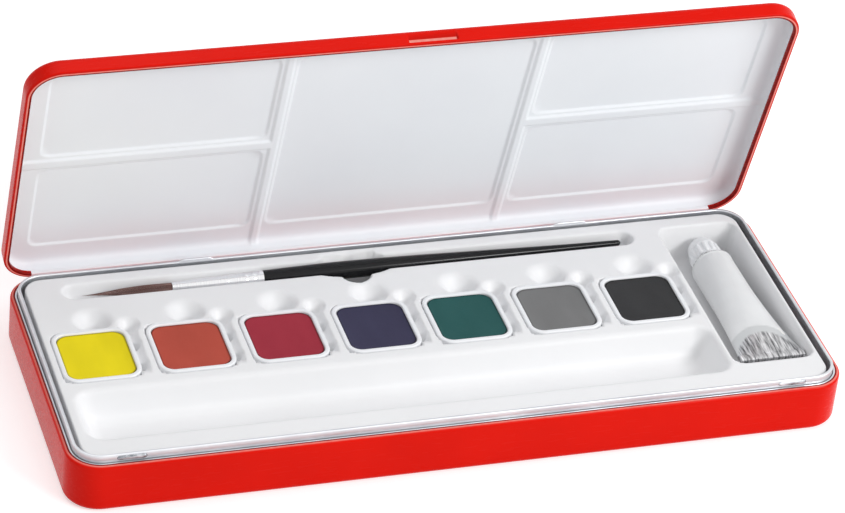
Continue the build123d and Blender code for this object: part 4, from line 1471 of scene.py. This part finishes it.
# Floor, light and camera
def studio():
    """A pale floor that keeps the shadow, and the white background behind it."""
    made = bpy.data.materials.new("floor_paper")
    made.use_nodes = True
    tree = made.node_tree
    tree.nodes.clear()
    seen = fill_node(tree, "ShaderNodeLightPath")
    rays = maths(tree, "MAXIMUM", seen.outputs["Is Camera Ray"], seen.outputs["Is Glossy Ray"])
    paper = fill_node(tree, "ShaderNodeBsdfDiffuse", {"Color": (0.82, 0.82, 0.82, 1)})
    glow = fill_node(tree, "ShaderNodeEmission", {"Color": (1, 1, 1, 1), "Strength": 0.5})
    unlit = fill_node(tree, "ShaderNodeEmission", {"Color": (1, 1, 1, 1), "Strength": 0.0})
    pick = fill_node(
        tree, "ShaderNodeMixShader",
        {0: rays, 1: unlit.outputs["Emission"], 2: glow.outputs["Emission"]},
    )
    both = fill_node(
        tree, "ShaderNodeAddShader", {0: paper.outputs["BSDF"], 1: pick.outputs["Shader"]}
    )
    out = fill_node(tree, "ShaderNodeOutputMaterial")
    tree.links.new(both.outputs["Shader"], out.inputs["Surface"])
    mesh = bpy.data.meshes.new("floor")
    mesh.from_pydata([(-6, -6, -0.00002), (6, -6, -0.00002), (6, 6, -0.00002), (-6, 6, -0.00002)], [], [(0, 1, 2, 3)])
    mesh.materials.append(made)
    floor = bpy.data.objects.new("floor", mesh)
    bpy.context.scene.collection.objects.link(floor)

    world = bpy.data.worlds.new("studio_air")
    bpy.context.scene.world = world
    world.use_nodes = True
    tree = world.node_tree
    tree.nodes.clear()
    seen = fill_node(tree, "ShaderNodeLightPath")
    rays = maths(tree, "MAXIMUM", seen.outputs["Is Camera Ray"], seen.outputs["Is Glossy Ray"])
    light = fill_node(tree, "ShaderNodeBackground", {"Color": (0.98, 0.99, 1, 1), "Strength": 0.51})
    white = fill_node(tree, "ShaderNodeBackground", {"Color": (1, 1, 1, 1), "Strength": 1.0})
    pick = fill_node(
        tree, "ShaderNodeMixShader",
        {0: rays, 1: light.outputs["Background"], 2: white.outputs["Background"]},
    )
    out = fill_node(tree, "ShaderNodeOutputWorld")
    tree.links.new(pick.outputs["Shader"], out.inputs["Surface"])


def softbox(name, place, aim, width, height, power):
    """A soft lamp at a place, turned towards a point."""
    lamp = bpy.data.lights.new(name, "AREA")
    lamp.shape, lamp.size, lamp.size_y, lamp.energy = "RECTANGLE", width, height, power
    made = bpy.data.objects.new(name, lamp)
    bpy.context.scene.collection.objects.link(made)
    made.location = place
    made.rotation_mode = "QUATERNION"
    made.rotation_quaternion = (Vector(aim) - Vector(place)).to_track_quat("-Z", "Y")
    return made


def photographers_camera():
    """The camera at the photograph's place, angle and focal length."""
    lens = bpy.data.cameras.new("camera")
    lens.lens, lens.sensor_width = 162.05, 36.0
    lens.clip_start, lens.clip_end = 0.05, 30
    made = bpy.data.objects.new("camera", lens)
    bpy.context.scene.collection.objects.link(made)
    right, up, ahead = (0.9535, -0.2874, 0.0912), (0.0941, 0.5707, 0.8157), (0.2865, 0.7692, -0.5712)
    place = (-0.31501, -0.83572, 0.66325)
    made.matrix_world = Matrix(
        [[right[k], up[k], -ahead[k], place[k]] for k in range(3)] + [[0, 0, 0, 1]]
    )
    bpy.context.scene.camera = made


studio()
softbox("key", (0.75, -0.85, 0.75), (0, 0, 0.02), 0.7, 0.3, 9.5)
softbox("overhead", (-0.1, 0.35, 1.3), (0, 0, 0.02), 0.9, 0.9, 3)
photographers_camera()
bpy.context.scene.view_settings.view_transform = "Standard"
